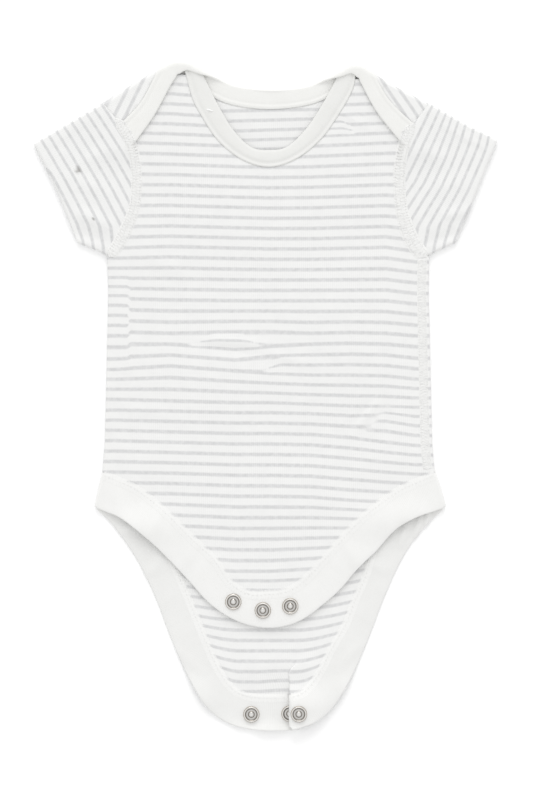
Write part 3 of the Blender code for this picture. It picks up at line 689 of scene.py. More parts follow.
def tube_faces(size, rings, first=0):
    """The quads between equal rings of points that are numbered from the first."""
    ends = [(k, (k + 1) % size) for k in range(size)]
    starts = [first + r * size for r in range(rings - 1)]
    return [(s + a, s + b, s + b + size, s + a + size) for s in starts for a, b in ends]


def sweep(name, rings, material, attributes, sharp=CLOTH_SHARP):
    """A closed skin over equal rings of points."""
    size, count = len(rings[0]), len(rings) * len(rings[0])
    faces = [(a, d, c, b) for a, b, c, d in tube_faces(size, len(rings))]
    faces += [tuple(range(size)), tuple(reversed(range(count - size, count)))]
    return cloth_mesh(name, [p for ring in rings for p in ring], faces, material, attributes, sharp)


def unit_rows(vectors):
    return vectors / np.maximum(np.linalg.norm(vectors, axis=-1, keepdims=True), TINY)


def vertex_normals(points, faces):
    normals = np.zeros_like(points)
    for face in faces:
        a, b, c = points[list(face[:3])]
        normals[list(face)] += np.cross(b - a, c - a)
    return unit_rows(normals)


def shell(name, points, faces, material, attributes):
    """A closed shell of even thickness around a middle surface, with rounded edges."""
    middle = np.array([tuple(p) for p in points])
    normals = vertex_normals(middle, faces)
    count = len(middle)
    edges = dict.fromkeys(edge for face in faces for edge in zip(face, face[1:] + face[:1]))
    open_edges = [(a, b) for a, b in edges if (b, a) not in edges]
    rim = {k: 2 * count + i for i, k in enumerate(sorted({k for edge in open_edges for k in edge}))}
    outward = dict.fromkeys(rim, 0)
    for a, b in open_edges:
        away = unit_rows(np.cross(middle[b] - middle[a], normals[a]))
        outward[a] = outward[a] + away
        outward[b] = outward[b] + away
    edge_points = np.array([middle[k] + unit_rows(outward[k]) * PANEL_WALL * RIM_ROUND for k in rim])
    sides = [middle + normals * PANEL_WALL / 2, middle - normals * PANEL_WALL / 2]
    every = np.vstack(sides + [edge_points.reshape(-1, 3)])
    every[:, 2] = np.maximum(every[:, 2], LOWEST)
    all_faces = faces + [tuple(k + count for k in reversed(face)) for face in faces]
    for a, b in open_edges:
        all_faces += [(b, a, rim[a], rim[b]), (rim[b], rim[a], a + count, b + count)]
    spread = {key: list(v) + list(v) + [v[k] for k in rim] for key, v in attributes.items()}
    return cloth_mesh(name, every, all_faces, material, spread)


def inside(outline, points):
    """Which points lie inside a closed outline and clear of its edge."""
    ring = np.array([tuple(p) for p in outline])
    x, y = points.T
    crossed = np.zeros(len(points), dtype=bool)
    clear = np.ones(len(points), dtype=bool)
    for (ax, ay), (bx, by) in zip(ring, np.roll(ring, -1, axis=0)):
        if ay != by:
            crossed ^= ((ay > y) != (by > y)) & (x < (bx - ax) * (y - ay) / (by - ay) + ax)
        clear &= (x - ax) ** 2 + (y - ay) ** 2 > EDGE_CLEAR**2
    return crossed & clear


def filled(outline, spots):
    """A flat triangle mesh inside an outline, through the given inner points."""
    spots = np.array(spots)
    verts = [Vector(p) for p in outline] + [Vector(p) for p in spots[inside(outline, spots)]]
    edges = [(k, (k + 1) % len(outline)) for k in range(len(outline))]
    made, _, faces, *_ = geometry.delaunay_2d_cdt(verts, edges, [], FILL_INSIDE, JOINED)
    return made, [tuple(f) for f in faces]


def grid_spots(low, high):
    """A grid whose rows are set half a step apart, so that its triangles are even."""
    spots = []
    for k, y in enumerate(np.arange(low[1], high[1], GRID * ROW_HEIGHT)):
        spots += [(x, y) for x in np.arange(low[0] + (k % 2) * GRID / 2, high[0], GRID)]
    return spots


def measured(thing):
    """Half the surface of a closed shell, in square metres: the flat area of its cloth."""
    return sum(p.area for p in thing.data.polygons) / 2


# ---- materials ----
class Nodes:
    """The nodes of a new material."""

    def __init__(self, name):
        self.material = bpy.data.materials.new(name)
        self.material.use_nodes = True
        self.tree = self.material.node_tree

    def fill(self, made, inputs):
        """Give a node's inputs their numbers and colours, or link them to other nodes."""
        for key, value in inputs.items():
            if isinstance(value, bpy.types.NodeSocket):
                self.tree.links.new(value, made.inputs[key])
            else:
                made.inputs[key].default_value = (*value, 1.0) if isinstance(value, tuple) else value
        return made

    def finish(self, inputs):
        """The material, once its shader has these inputs."""
        self.fill(self.tree.nodes["Principled BSDF"], inputs)
        return self.material

    def add(self, kind, inputs=None, **settings):
        made = self.tree.nodes.new(kind)
        for key, value in settings.items():
            setattr(made, key, value)
        return self.fill(made, inputs or {})

    def maths(self, operation, *values):
        return self.add("ShaderNodeMath", dict(enumerate(values)), operation=operation).outputs[0]

    def total(self, *values):
        return reduce(partial(self.maths, "ADD"), values)

    def product(self, *values):
        return reduce(partial(self.maths, "MULTIPLY"), values)

    def attribute(self, name, output="Fac"):
        return self.add("ShaderNodeAttribute", attribute_name=name).outputs[output]

    def parts(self, name):
        """The three numbers of a vector attribute."""
        return self.add("ShaderNodeSeparateXYZ", {0: self.attribute(name, "Vector")}).outputs

    def melange(self, scale, detail=2.0):
        """Slow and fast unevenness of the yarn, about 0 to 1."""
        return self.noise(self.attribute("cloth", "Vector"), scale, detail, Roughness=0.6)

    def patches(self, kind, smooth=False):
        """Melange of a kind, its middle part brought to the kind's range."""
        return self.ranged(self.melange(kind.scale, kind.detail), *kind[2:], smooth=smooth)

    def grain(self, scale, detail):
        return self.noise(self.add("ShaderNodeTexCoord").outputs["Object"], scale, detail)

    def noise(self, place, scale, detail, **more):
        inputs = {"Vector": place, "Scale": scale, "Detail": detail}
        return self.add("ShaderNodeTexNoise", inputs | more).outputs["Fac"]

    def ranged(self, value, low, high, out_low=0.0, out_high=1.0, smooth=False):
        inputs = {"Value": value, "From Min": low, "From Max": high, "To Min": out_low, "To Max": out_high}
        kind = "SMOOTHSTEP" if smooth else "LINEAR"
        return self.add("ShaderNodeMapRange", inputs, interpolation_type=kind).outputs["Result"]

    def mixed(self, factor, first, second):
        return self.add("ShaderNodeMix", {0: factor, 6: first, 7: second}, data_type="RGBA").outputs[2]

    def wave(self, kind):
        """The sine or cosine of the stripes' number, as turns."""
        return self.maths(kind, self.product(self.attribute("phase"), 2 * math.pi))

    def knit(self, wale, course):
        """The height of a jersey's face: columns of small V-shaped loops, wale and course in mm."""
        parts = self.parts("cloth")
        rib = self.maths("ABSOLUTE", self.maths("SINE", self.product(parts[0], math.pi / wale)))
        along = self.total(self.product(parts[1], 2 * math.pi / course), self.product(rib, LOOP_LEAN))
        loops = self.total(self.product(self.maths("SINE", along), LOOP_DEPTH), 1 - LOOP_DEPTH)
        return self.product(rib, loops)

    def bump(self, height, strength, distance):
        inputs = {"Strength": strength, "Distance": distance, "Height": height}
        return self.add("ShaderNodeBump", inputs).outputs[0]

    def cloth(self, colour, height, strength, distance):
        """A matt knit, a little napped, raised by its loops."""
        bump = self.bump(height, strength, distance)
        look = {"Base Color": colour, "Normal": bump, "Roughness": 0.92, "Specular IOR Level": 0.25}
        return self.finish(look | {"Sheen Weight": 0.12, "Sheen Roughness": 0.5})


LOOP_LEAN = 2.2
LOOP_DEPTH = 0.3
BODY_KNIT = (1.15, 0.85)  # wale and course, mm
RIB_KNIT = (0.95, 0.8)
BODY_BUMP = (0.35, 0.0002)  # strength, and distance in metres
RIB_BUMP = (0.3, 0.00018)
FUZZ = 0.5  # the height of the yarn's unevenness, beside its loops'
BODY_FUZZ, RIB_FUZZ = 0.8, 0.9  # its scale
Patches = namedtuple("Patches", "scale detail low high out_low out_high", defaults=(0.0, 1.0))
FRAYED = Patches(0.9, 2.0, 0.3, 0.7, -0.09, 0.09)  # what the stripes' edges are uneven by
GREY_PATCHES = Patches(0.35, 4.0, 0.35, 0.65)
WHITE_PATCHES = Patches(0.12, 3.0, 0.35, 0.7)
TRIM_PATCHES = Patches(0.1, 3.0, 0.35, 0.7)
HATCH_WANDER = Patches(0.3, 2.0, 0.3, 0.7, -1.0, 1.0)
HATCH_PATCHES = Patches(0.24, 3.0, 0.42, 0.62, 0.15, 1.0)
BROKEN = Patches(0.8, 2.0, 0.4, 0.6, 0.4, 1.0)  # the stripes that show through the stitching
THREAD_GRAIN = (900.0, 2.0)  # scale and detail
NICKEL_GRAIN = (1400.0, 3.0)
NICKEL_ROUGHNESS = (0.3, 0.7, 0.2, 0.42)  # over the grain
NICKEL_BUMP = (0.15, 0.0001)
CLOTH_WHITE = (0.79, 0.79, 0.781)
CLOTH_SHADE = (0.77, 0.77, 0.763)
STRIPE_GREY = (0.585, 0.586, 0.588)
STRIPE_PALE = (0.661, 0.662, 0.663)
SLEEVE_GREY = (0.575, 0.577, 0.579)
SLEEVE_PALE = (0.665, 0.667, 0.669)
STAIN_GREY = (0.268, 0.259, 0.246)
TRIM_WHITE = (0.79, 0.789, 0.777)
TRIM_SHADE = (0.773, 0.772, 0.759)
# grey painted into the stitching's grooves: painted shade
STROKE_PAINTED_SHADE = (0.675, 0.675, 0.665)
NICKEL_BRIGHT = (0.82, 0.81, 0.79)
NICKEL_DULL = (0.715, 0.705, 0.683)
# dark and pale painted shade, for the snaps' recessed rings and rolled outer edge
RECESS_PAINTED_SHADE = (0.18, 0.174, 0.165)
RECESS_PAINTED_SHADE_PALE = (0.286, 0.277, 0.263)
NICKEL_WARM = (0.42, 0.35, 0.27)
STRIPE_EDGE = (-0.02, 0.98)  # of the wave, from no grey to full grey
SLEEVE_EDGE = (0.1, 0.98)
UNDER_EDGE = (0.1, 0.9)
HATCH_EDGE = (0.1, 0.95)
HATCH_PITCH = 1.45
HATCH_SLANT = 0.22


def striped_material(name, grey, pale, edge):
    """Fine white jersey with soft-edged melange-grey stripes, and two small stains on one sleeve."""
    nodes = Nodes(name)
    twist = nodes.parts("twist")
    turned = nodes.product(nodes.wave("COSINE"), twist[0])
    wave = nodes.maths("SUBTRACT", turned, nodes.product(nodes.wave("SINE"), twist[1]))
    frayed = nodes.total(wave, twist[2], nodes.patches(FRAYED))
    yarn = nodes.mixed(nodes.patches(GREY_PATCHES), grey, pale)
    white = nodes.mixed(nodes.patches(WHITE_PATCHES), CLOTH_WHITE, CLOTH_SHADE)
    colour = nodes.mixed(nodes.ranged(frayed, *edge, smooth=True), white, yarn)
    colour = nodes.mixed(nodes.attribute("stain"), colour, STAIN_GREY)
    height = nodes.total(nodes.knit(*BODY_KNIT), nodes.product(nodes.melange(BODY_FUZZ), FUZZ))
    return nodes.cloth(colour, height, *BODY_BUMP)


def trim_material(name, white, shade):
    """White binding knit, finer than the body's."""
    nodes = Nodes(name)
    colour = nodes.mixed(nodes.patches(TRIM_PATCHES), white, shade)
    height = nodes.total(nodes.knit(*RIB_KNIT), nodes.product(nodes.melange(RIB_FUZZ), FUZZ))
    return nodes.cloth(colour, height, *RIB_BUMP)


def stitched_material():
    """Binding knit under rows of stitches, with faint grooves across it where the loops lie, painted grey as
    their shade.
    """
    nodes = Nodes("white_stitched_knit")
    parts = nodes.parts("cloth")
    along = nodes.total(parts[0], nodes.patches(HATCH_WANDER), nodes.product(parts[1], HATCH_SLANT))
    groove_and_shade = nodes.maths("SINE", nodes.product(along, 2 * math.pi / HATCH_PITCH))
    patch = nodes.patches(HATCH_PATCHES, smooth=True)
    groove_and_shade = nodes.product(nodes.ranged(groove_and_shade, *HATCH_EDGE), patch, nodes.attribute("hatch"))
    under = nodes.ranged(nodes.wave("COSINE"), *UNDER_EDGE, smooth=True)
    under = nodes.product(under, nodes.patches(BROKEN), nodes.attribute("show"))
    # the grooves across the stitching are painted grey: painted shade
    colour = nodes.mixed(under, nodes.mixed(groove_and_shade, TRIM_WHITE, STROKE_PAINTED_SHADE), STRIPE_GREY)
    return nodes.cloth(colour, nodes.maths("SUBTRACT", nodes.knit(*RIB_KNIT), groove_and_shade), *RIB_BUMP)


def thread_material(name, bright, dull):
    """Cotton sewing thread, with its twist."""
    nodes = Nodes(name)
    colour = nodes.mixed(nodes.grain(*THREAD_GRAIN), bright, dull)
    return nodes.finish({"Base Color": colour, "Roughness": 0.7, "Sheen Weight": 0.15})


def nickel_material():
    """Nickel plating, bright where it is polished, with painted shade in its recessed rings and on its rolled
    outer edge, and tinted warm brown at its edges.
    """
    nodes = Nodes("ring_snap_nickel")
    grain = nodes.grain(*NICKEL_GRAIN)
    bright = nodes.mixed(grain, NICKEL_BRIGHT, NICKEL_DULL)
    dark = nodes.mixed(grain, RECESS_PAINTED_SHADE, RECESS_PAINTED_SHADE_PALE)
    # the recessed rings and the rolled edge are painted dark: painted shade
    colour = nodes.mixed(nodes.attribute("recess"), bright, dark)
    colour = nodes.mixed(nodes.attribute("warm"), colour, NICKEL_WARM)
    look = {"Base Color": colour, "Metallic": 1.0, "Roughness": nodes.ranged(grain, *NICKEL_ROUGHNESS)}
    return nodes.finish(look | {"Normal": nodes.bump(grain, *NICKEL_BUMP)})


STRIPED = striped_material("striped_body_knit", STRIPE_GREY, STRIPE_PALE, STRIPE_EDGE)
SLEEVE_KNIT = striped_material("striped_sleeve_knit", SLEEVE_GREY, SLEEVE_PALE, SLEEVE_EDGE)
TRIM = trim_material("white_trim_knit", TRIM_WHITE, TRIM_SHADE)
# the back leg binding's knit is darker than the other trim: painted shade, for where it lies under the front
BACK_LEG_SHADED_TRIM = trim_material("white_back_leg_knit", (0.76, 0.76, 0.748), (0.743, 0.743, 0.73))
NECK_TRIM = trim_material("white_neck_knit", (0.782, 0.781, 0.762), (0.765, 0.764, 0.743))
# the front neck binding's knit is darker than the back neck's: painted shade over the whole band
FRONT_NECK_SHADED_TRIM = trim_material("white_front_neck_knit", (0.743, 0.743, 0.726), (0.727, 0.727, 0.708))
STITCHED = stitched_material()
THREAD = thread_material("white_thread", (0.804, 0.804, 0.795), (0.75, 0.75, 0.741))
# a brighter copy of the thread, for the loose stitch: a painted highlight
HIGHLIGHT_THREAD = thread_material("thread_painted_highlight", (0.93, 0.93, 0.925), (0.88, 0.88, 0.875))
NICKEL = nickel_material()


def piece(thing, nodes):
    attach(thing, "root")
    if nodes:
        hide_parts(*nodes)
    return thing


# ---- panels ----
SIDE_COLUMNS = 4
SIDE_COLUMN_FROM = 1.5  # inside the garment's side
SHOULDER_RUN = 52.0
FOLD_GRID = GRID * 0.8  # along the shoulder folds
FOLD_BEFORE, FOLD_BEYOND = 1.0, 1.5  # the fine points start and end this far from the turn
PLEAT_FINE = FINE * 0.7
PLEAT_BESIDE, PLEAT_BELOW, PLEAT_ABOVE = 1, 2, 6  # the pleat's fine points reach this far past it
YOKE_STEP = 0.05  # of the front's edge under the shoulder fold
FRONT_GRID = ((-106, -130), (106, 200))
BACK_GRID = ((-110, -190), (120, 200))


def side_edge():
    """The flat edge of a panel's right side, past where it rolls to the side seam."""
    radius = side_radius(PANEL_WALL)
    extra = radius * SIDE_ANGLE - radius - PANEL_WALL / 2
    heights = spaced(BODY_SIDE[1].y, BODY_SIDE[-1].y, EDGE_STEP)
    return [Vector((side_reach(y) + extra, y)) for y in heights]


def side_spots():
    """Fine columns where the panels roll to their side seams."""
    roll = side_radius(PANEL_WALL) * SIDE_ANGLE
    columns = [roll * k / SIDE_COLUMNS - SIDE_COLUMN_FROM for k in range(SIDE_COLUMNS)]
    heights = np.arange(BODY_SIDE[1].y, BODY_SIDE[-1].y, CLOSE_GRID)
    return [(side * (side_reach(y) + c), y) for y in heights for c in columns for side in (1, -1)]


def fold_spots():
    """Fine points across the turn at each shoulder."""
    along = Vector((SHOULDER_NORMAL.y, -SHOULDER_NORMAL.x))
    first = PEAK_CENTRE + SHOULDER_NORMAL * FOLD_DISTANCE
    places = np.arange(0.0, SHOULDER_RUN, FOLD_GRID)
    spots = []
    for d in np.arange(-FOLD_BEFORE, HALF_TURN + FOLD_BEYOND, FINE):
        line = [first + SHOULDER_NORMAL * d + along * t for t in places]
        spots += [(side * p.x, p.y) for p in line for side in (1, -1)]
    return spots


def pleat_spots():
    across = np.arange(PLEAT_START - PLEAT_BESIDE, PLEAT_END + PLEAT_BESIDE, PLEAT_FINE)
    heights = np.arange(PLEAT_FULL - PLEAT_BELOW, PLEAT_TOP + PLEAT_ABOVE, CLOSE_GRID)
    return [(x, y) for y in heights for x in across]


def shoulder_line_point(x, inside_by):
    across = FOLD_DISTANCE - inside_by + PEAK_CENTRE.dot(SHOULDER_NORMAL)
    return Vector((x, (across - x * SHOULDER_NORMAL.x) / SHOULDER_NORMAL.y))


def body_armhole():
    return [p for p in armhole_line()[1:] if shoulder_distance(p)[0] < -FOLD_CLEARANCE]


def dropping_close(points):
    """An outline without points that nearly coincide."""
    kept = [points[0]]
    for p in points[1:]:
        if (p - kept[-1]).length > POINT_CLEAR:
            kept.append(p)
    return kept if (kept[0] - kept[-1]).length > POINT_CLEAR else kept[:-1]


def opened_outline(points):
    """An outline with what lies right of the pleat moved out to its place in the flat flap."""
    moved = [(opened_x(p.x, p.y), p.y) for p in points]
    return [Vector(p) for p in moved if p[0] is not None]


def cell(spot):
    return round(spot[0] / GRID), round(spot[1] / GRID)


def thinned(spots, dense):
    """Spots of the plain grid that stay clear of the fine ones."""
    taken = {cell(spot) for spot in dense}
    return [spot for spot in spots if cell(spot) not in taken]


def front_half(side):
    outline = seam_line(FRONT_LEG, side)[:-1] + side_edge() + body_armhole()
    outer, inner = (shoulder_line_point(x, FOLD_CLEARANCE) for x in (YOKE_OUTER, YOKE_INNER))
    outline += [outer.lerp(inner, t) for t in spaced(0, 1, YOKE_STEP)]
    outline += reversed(seam_line(FRONT_NECK, side))
    return [p for p in outline if not (PEAK_GAP_INNER < p.x < PEAK_GAP_OUTER and p.y > PEAK_GAP_LOW)]


def back_half(side):
    corner = shoulder_line_point(FOLD_OUTER, 0.0)
    turned = [unfolded(p) for p in [corner] + body_armhole()[::-1]]
    outline = seam_line(BACK_LEG, side)[:-1] + side_edge() + body_armhole() + [corner]
    outline += [p for p in turned if p.y < BACK_NECK[-1].seam_y - LAP_CORNER]
    return outline + seam_line(BACK_NECK)[::-1]


def make_panel(node, outline, spots, place, stripes):
    """A striped panel. Its stripes give each point's number and twist, from its flat place and its own."""
    flat, faces = filled(dropping_close(outline), spots)
    points = [place(p.x, p.y) for p in flat]
    phases, twists = zip(*(stripes(f, p) for f, p in zip(flat, points)))
    attributes = {
        "phase": phases,
        "twist": twists,
        "cloth": [(p.x, p.y, 0) for p in flat],
        "stain": [0.0] * len(flat),
    }
    return piece(shell(node + "_cloth", points, faces, STRIPED, attributes), [node])


def make_front_panel():
    def stripes(flat, point):
        phase = front_phase(point.x, point.y)
        return phase, front_twist(point.x, phase)

    spots = grid_spots(*FRONT_GRID) + side_spots()
    return make_panel("front_panel", both_sides(front_half), spots, front_place(PANEL_WALL), stripes)


def make_back_panel():
    def stripes(flat, point):
        return back_phase(flat.x, flat.y, point.x), (1, 0, 0)

    fine = fold_spots() + pleat_spots() + side_spots()
    spots = thinned(grid_spots(*BACK_GRID), fine) + fine
    outline = opened_outline(both_sides(back_half))
    return make_panel("back_panel", outline, spots, back_place(PANEL_WALL), stripes)


# ---- bindings ----
SEAM_POINTS = (3.6, 2.9, 2.3, 1.8, 1.3, 0.8, 0.35, 0.0)  # distances from the seam edge
TOP_POINTS = 10
FREE_ANGLES = 6
Relief = namedtuple("Relief", "crown ridge ridge_at ridge_width groove groove_at groove_width pucker")
NECK_RELIEF = Relief(0.5, 0.32, 0.6, 0.5, 0.3, 2.3, 1.0, 0.05)
LEG_RELIEF = Relief(0.2, 0.0, 1.0, 1.0, 0.0, 3.0, 1.0, 0.05)
BACK_RELIEF = Relief(0.15, 0.18, 1.2, 0.9, 0.15, 2.7, 0.7, 0.04)
BINDINGS = {  # the stations of each, the relief of its face, and its material
    "front_neck": (FRONT_NECK, NECK_RELIEF, FRONT_NECK_SHADED_TRIM),
    "back_neck": (BACK_NECK, BACK_RELIEF, NECK_TRIM),
    "front_leg": (FRONT_LEG, LEG_RELIEF, TRIM),
    "back_leg": (BACK_LEG, LEG_RELIEF, BACK_LEG_SHADED_TRIM),
}
CROWN_ROUND = 0.8
PUCKER_PITCH = 2.3
PUCKER_SIZE = 9.0  # of the puckers' unevenness
PUCKER_FADE = 3.0  # away from the seam
PUCKER_WANDER, PUCKER_SEED = 2, 3
ROLL_STEPS = 5
ROLL_CLEAR = 0.4
PLEAT_GAP = 3 * EDGE_STEP  # stations further apart than this have the pleat between them


def relief_height(relief, from_free, from_seam, along):
    """How far a binding's face stands above half its wall."""
    across = max(math.sin(math.pi * from_free / (from_free + from_seam)), 0.0)
    height = relief.crown * across**CROWN_ROUND
    height += relief.ridge * gauss((from_seam - relief.ridge_at) / relief.ridge_width)
    height -= relief.groove * gauss((from_seam - relief.groove_at) / relief.groove_width)
    wander = PUCKER_WANDER * noise.noise(Vector((along / PUCKER_SIZE, 0, PUCKER_SEED)))
    wave = math.sin(2 * math.pi * along / PUCKER_PITCH + wander)
    return height + relief.pucker * wave * math.exp(-from_seam / PUCKER_FADE)


def binding_section(free, seam, relief, along, faces):
    """The loop of a binding's cross-section: places in the flat cut and heights above mid-cloth."""
    half = BAND_WALL / 2
    width = (seam - free).length
    inward = (seam - free) / width
    angles = [math.pi * (k / FREE_ANGLES - 0.5) for k in range(FREE_ANGLES + 1)]
    loop = [(half - half * math.cos(angle), half * math.sin(angle)) for angle in angles]
    last = width - SEAM_POINTS[0]
    tops = [half + (last - half) * k / TOP_POINTS for k in range(1, TOP_POINTS + 1)]
    tops += [width - d for d in SEAM_POINTS[1:]]
    for way, share, run in ((1, faces[0], tops), (-1, faces[1], tops[::-1])):
        loop += [(d, way * (half + relief_height(relief, d, width - d, along) * share)) for d in run]
    return [(free + inward * d, height) for d, height in loop]


def past_side(half):
    """A leg binding's stations, carried on over the roll at the garment's side."""
    radius = side_radius(BAND_WALL)
    outward = Vector((1, 0, 1, 0))
    end = half[-1] - outward * (radius + BAND_WALL / 2)
    kept = [s for s in half[:-1] if s[2] < end[2] - ROLL_CLEAR and s[0] < end[0] - ROLL_CLEAR]
    turns = [radius * SIDE_ANGLE * k / ROLL_STEPS for k in range(ROLL_STEPS + 1)]
    return kept + [end + outward * turn for turn in turns]


def make_binding(name):
    """One binding: its stations from left to right, the section at each, and the skin over them."""
    table, relief, material = BINDINGS[name]
    layer, edge = name.split("_")
    place = (front_place if layer == "front" else back_place)(BAND_WALL)
    halves = [stations(table, side) for side in (-1, 1)]
    left, right = map(past_side, halves) if edge == "leg" else halves
    whole = [mirrored(s) for s in reversed(left[1:])] + right
    if name == "back_leg":
        whole = opened_stations(whole)
    middles = [(Vector(s[2:]) + Vector(s[:2])) / 2 for s in whole]
    rings, cloth = [], []
    for station, along in zip(whole, lengths_along(middles)):
        free, seam = Vector(station[:2]), Vector(station[2:])
        faces = (1, lap_turned(free) if name == "back_neck" else 0)
        loop = binding_section(free, seam, relief, along, faces)
        rings.append([place(p.x, p.y) + normal_at(place, p.x, p.y) * h for p, h in loop])
        cloth += [(along, (p - free).length, 0) for p, h in loop]
    for p in (p for ring in rings for p in ring):
        p.z = max(p.z, LOWEST)
    thing = sweep(name + "_binding_cloth", rings, material, {"cloth": cloth})
    return piece(thing, [f"{edge}_binding_{layer}"])


def opened_stations(whole):
    """Stations of the back leg binding, with the pleat's fine strip put in flat."""
    opened = [(opened_x(s[0], s[1]), s[1], opened_x(s[2], s[3]), s[3]) for s in whole]
    moved = [Vector(s) for s in opened if s[0] is not None and s[2] is not None]
    done = []
    for a, b in zip(moved, moved[1:]):
        gap = b[2] - a[2]
        count = round(gap / PLEAT_FINE) if gap > PLEAT_GAP else 1
        done += [a.lerp(b, k / count) for k in range(count)]
    return done + [moved[-1]]


def lap_turned(free):
    """How far a station of the back neck binding has turned over, so that its lower face shows."""
    return ease(shoulder_distance(Vector((abs(free.x), free.y)))[0] / HALF_TURN)


# ---- sleeves ----
LAP_RUN = 0.7
LAP_SHARE = 0.27
LAP_FADE = 0.2
SLEEVE_RINGS = 30
SLEEVE_TURN = 8
SLEEVE_STEP = 0.018  # down the flat part, which lies between these shares
FLAT_FROM, FLAT_TO = 0.05, 0.95
TOP_SHARE = 0.1  # the direction across the top fold is taken from this far down
CALM_TOP, CALM_LOW, CALM_SEAM = 0.12, 0.1, 0.12  # its creases start this far from its edges
TIP_RAISED = 1.9  # the right sleeve's top corner was drawn up by this
TIP_REACH = 0.75  # of the sleeve's depth, below its top fold
TIP_FROM = 0.45
HEM_DRAWN = 1.7  # the left hem is drawn in by this at its middle
HEM_DRAWN_AT, HEM_DRAWN_REACH = 0.45, 0.6
HEM_INWARD = Vector((SLEEVE_CORNER.y - SLEEVE_TIP.y, SLEEVE_TIP.x - SLEEVE_CORNER.x)).normalized()
SLEEVE_CREASES = {
    -1: rows(
        Crease, ("top press", -100, 168, -134, 148, 2, 0.4), ("long pull", -92, 120, -124, 132, 5, 0.5),
        ("underarm fold", -92, 101, -118, 112, 4, 1), ("cap fold", -88, 150, -110, 140, 4, 0.4),
        ("hollow", -88, 90, -118, 99, 5, -0.9),
    ),
    1: rows(
        Crease, ("top press", 100, 166, 134, 146, 2, 0.5), ("long pull", 94, 124, 126, 128, 5, 0.5),
        ("underarm fold", 105, 107, 122.7, 111.6, 3, 0.8), ("cap fold", 88, 148, 112, 142, 4, 0.4),
        ("hollow", 92, 90, 120, 98, 5, -0.9),
    ),
}
SLEEVE_LINE = armhole_line()[::-1]  # from the shoulder down
SLEEVE_ALONG = lengths_along(SLEEVE_LINE)
Stain = namedtuple("Stain", "name x y size")
STAIN_NARROW = 1.25
STAIN_WANDER = 0.5  # of the stain's size, that its edge is uneven by
STAIN_GRAIN = 1.1
STAIN_SEED = 4.0
STAIN_DARKEST = 0.95
STAIN_FULL, STAIN_FADE = 1.6, 1.1  # its darkness falls from the first, by the second for its size
STAINS = rows(
    Stain, ("large", -112.2, 134.9, 1.35), ("large tail", -112.6, 136.6, 0.7), ("small", -103.4, 105.8, 0.8)
)


def sleeve_across(v, out):
    """A place on the flat sleeve, a share v down it and a share out from the armhole to the hem."""
    length = v * SLEEVE_ALONG[-1]
    k = max(i for i, a in enumerate(SLEEVE_ALONG[:-1]) if a <= length)
    share = (length - SLEEVE_ALONG[k]) / (SLEEVE_ALONG[k + 1] - SLEEVE_ALONG[k])
    seam = SLEEVE_LINE[k].lerp(SLEEVE_LINE[k + 1], share)
    return seam.lerp(SLEEVE_TIP.lerp(SLEEVE_CORNER, v), out)


def sleeve_ring(out, side):
    """A ring around the flattened sleeve: flat place, height, share down the sleeve."""
    low = half = PANEL_WALL / 2
    raised = (LAP_LEVEL - FRONT_LEVEL) * (1 - ease(out / LAP_RUN))
    top = Vector(ARMHOLE[-1][1:]).lerp(SLEEVE_TIP, out)
    bottom = SLEEVE_UNDERARM.lerp(SLEEVE_CORNER, out)
    up = (top - sleeve_across(TOP_SHARE, out)).normalized()
    down = (bottom - sleeve_across(FLAT_TO, out)).normalized()
    top_radius, bottom_radius = (FRONT_LEVEL + raised - low) / 2, (FRONT_LEVEL - low) / 2
    top_base, bottom_base = top - up * (top_radius + half), bottom - down * (bottom_radius + half)
    inner = [(sleeve_across(v, out), v) for v in spaced(0.0, 1.0, SLEEVE_STEP) if FLAT_FROM < v < FLAT_TO]
    flat = [(top_base, 0.0)] + inner + [(bottom_base, 1.0)]

    def turned(base, outward, radius, way, v):
        angles = [math.pi * k / SLEEVE_TURN for k in range(1, SLEEVE_TURN)]
        heights = [low + radius * (1 + way * math.cos(angle)) for angle in angles]
        return [(base + outward * radius * math.sin(a), z, v) for a, z in zip(angles, heights)]

    ring = []
    for p, v in flat:
        lift = raised * (1 - ease((v - LAP_SHARE) / LAP_FADE))
        x, y = lay(side * p.x, p.y)
        crease = shaped((), SLEEVE_CREASES[side], x, y) + handled(x, y, HANDLED_SLEEVE)
        free = ease(v / CALM_TOP) * ease((1 - v) / CALM_LOW) * ease(out / CALM_SEAM)
        ring.append((p, FRONT_LEVEL + lift + crease * free, v))
    ring += turned(bottom_base, down, bottom_radius, 1, 1.0)
    ring += [(p, low, v) for p, v in reversed(flat)]
    return ring + turned(top_base, up, top_radius, -1, 0.0)


def stain_at(x, y, z):
    """How stained the upper layer is at a place on the garment."""
    dark = 0.0
    for stain in STAINS if z >= FRONT_LEVEL - 1 else ():
        away = math.hypot((x - stain.x) * STAIN_NARROW, y - stain.y)
        away += STAIN_WANDER * stain.size * noise.noise(Vector((x, y, STAIN_SEED)) / STAIN_GRAIN)
        dark = max(dark, STAIN_DARKEST * ease(STAIN_FULL - STAIN_FADE * away / stain.size))
    return dark


def make_sleeve(name, side):
    points, attributes = [], {"phase": [], "twist": [], "cloth": [], "stain": []}
    for r in range(SLEEVE_RINGS + 1):
        out = r / SLEEVE_RINGS
        ring = sleeve_ring(out, side)
        for (p, z, v), around in zip(ring, lengths_along([p for p, _, _ in ring])):
            x, y = lay(side * p.x, p.y)
            if side < 0:
                x += HEM_DRAWN * bell((v - HEM_DRAWN_AT) / HEM_DRAWN_REACH) * out
            else:
                y += TIP_RAISED * bell(v / TIP_REACH) * ease((out - TIP_FROM) / (1 - TIP_FROM))
            distance = abs((p - SLEEVE_TIP).dot(-HEM_INWARD))
            points.append(Vector((x, y, z)))
            attributes["phase"].append(sleeve_phase(distance, v, side))
            attributes["twist"].append((1, 0, 0))
            attributes["cloth"].append((around, distance, 0))
            attributes["stain"].append(stain_at(x, y, z))
    quads = tube_faces(len(points) // (SLEEVE_RINGS + 1), SLEEVE_RINGS + 1)
    faces = quads if side < 0 else [quad[::-1] for quad in quads]
    return piece(shell(name + "_cloth", points, faces, SLEEVE_KNIT, attributes), [name])


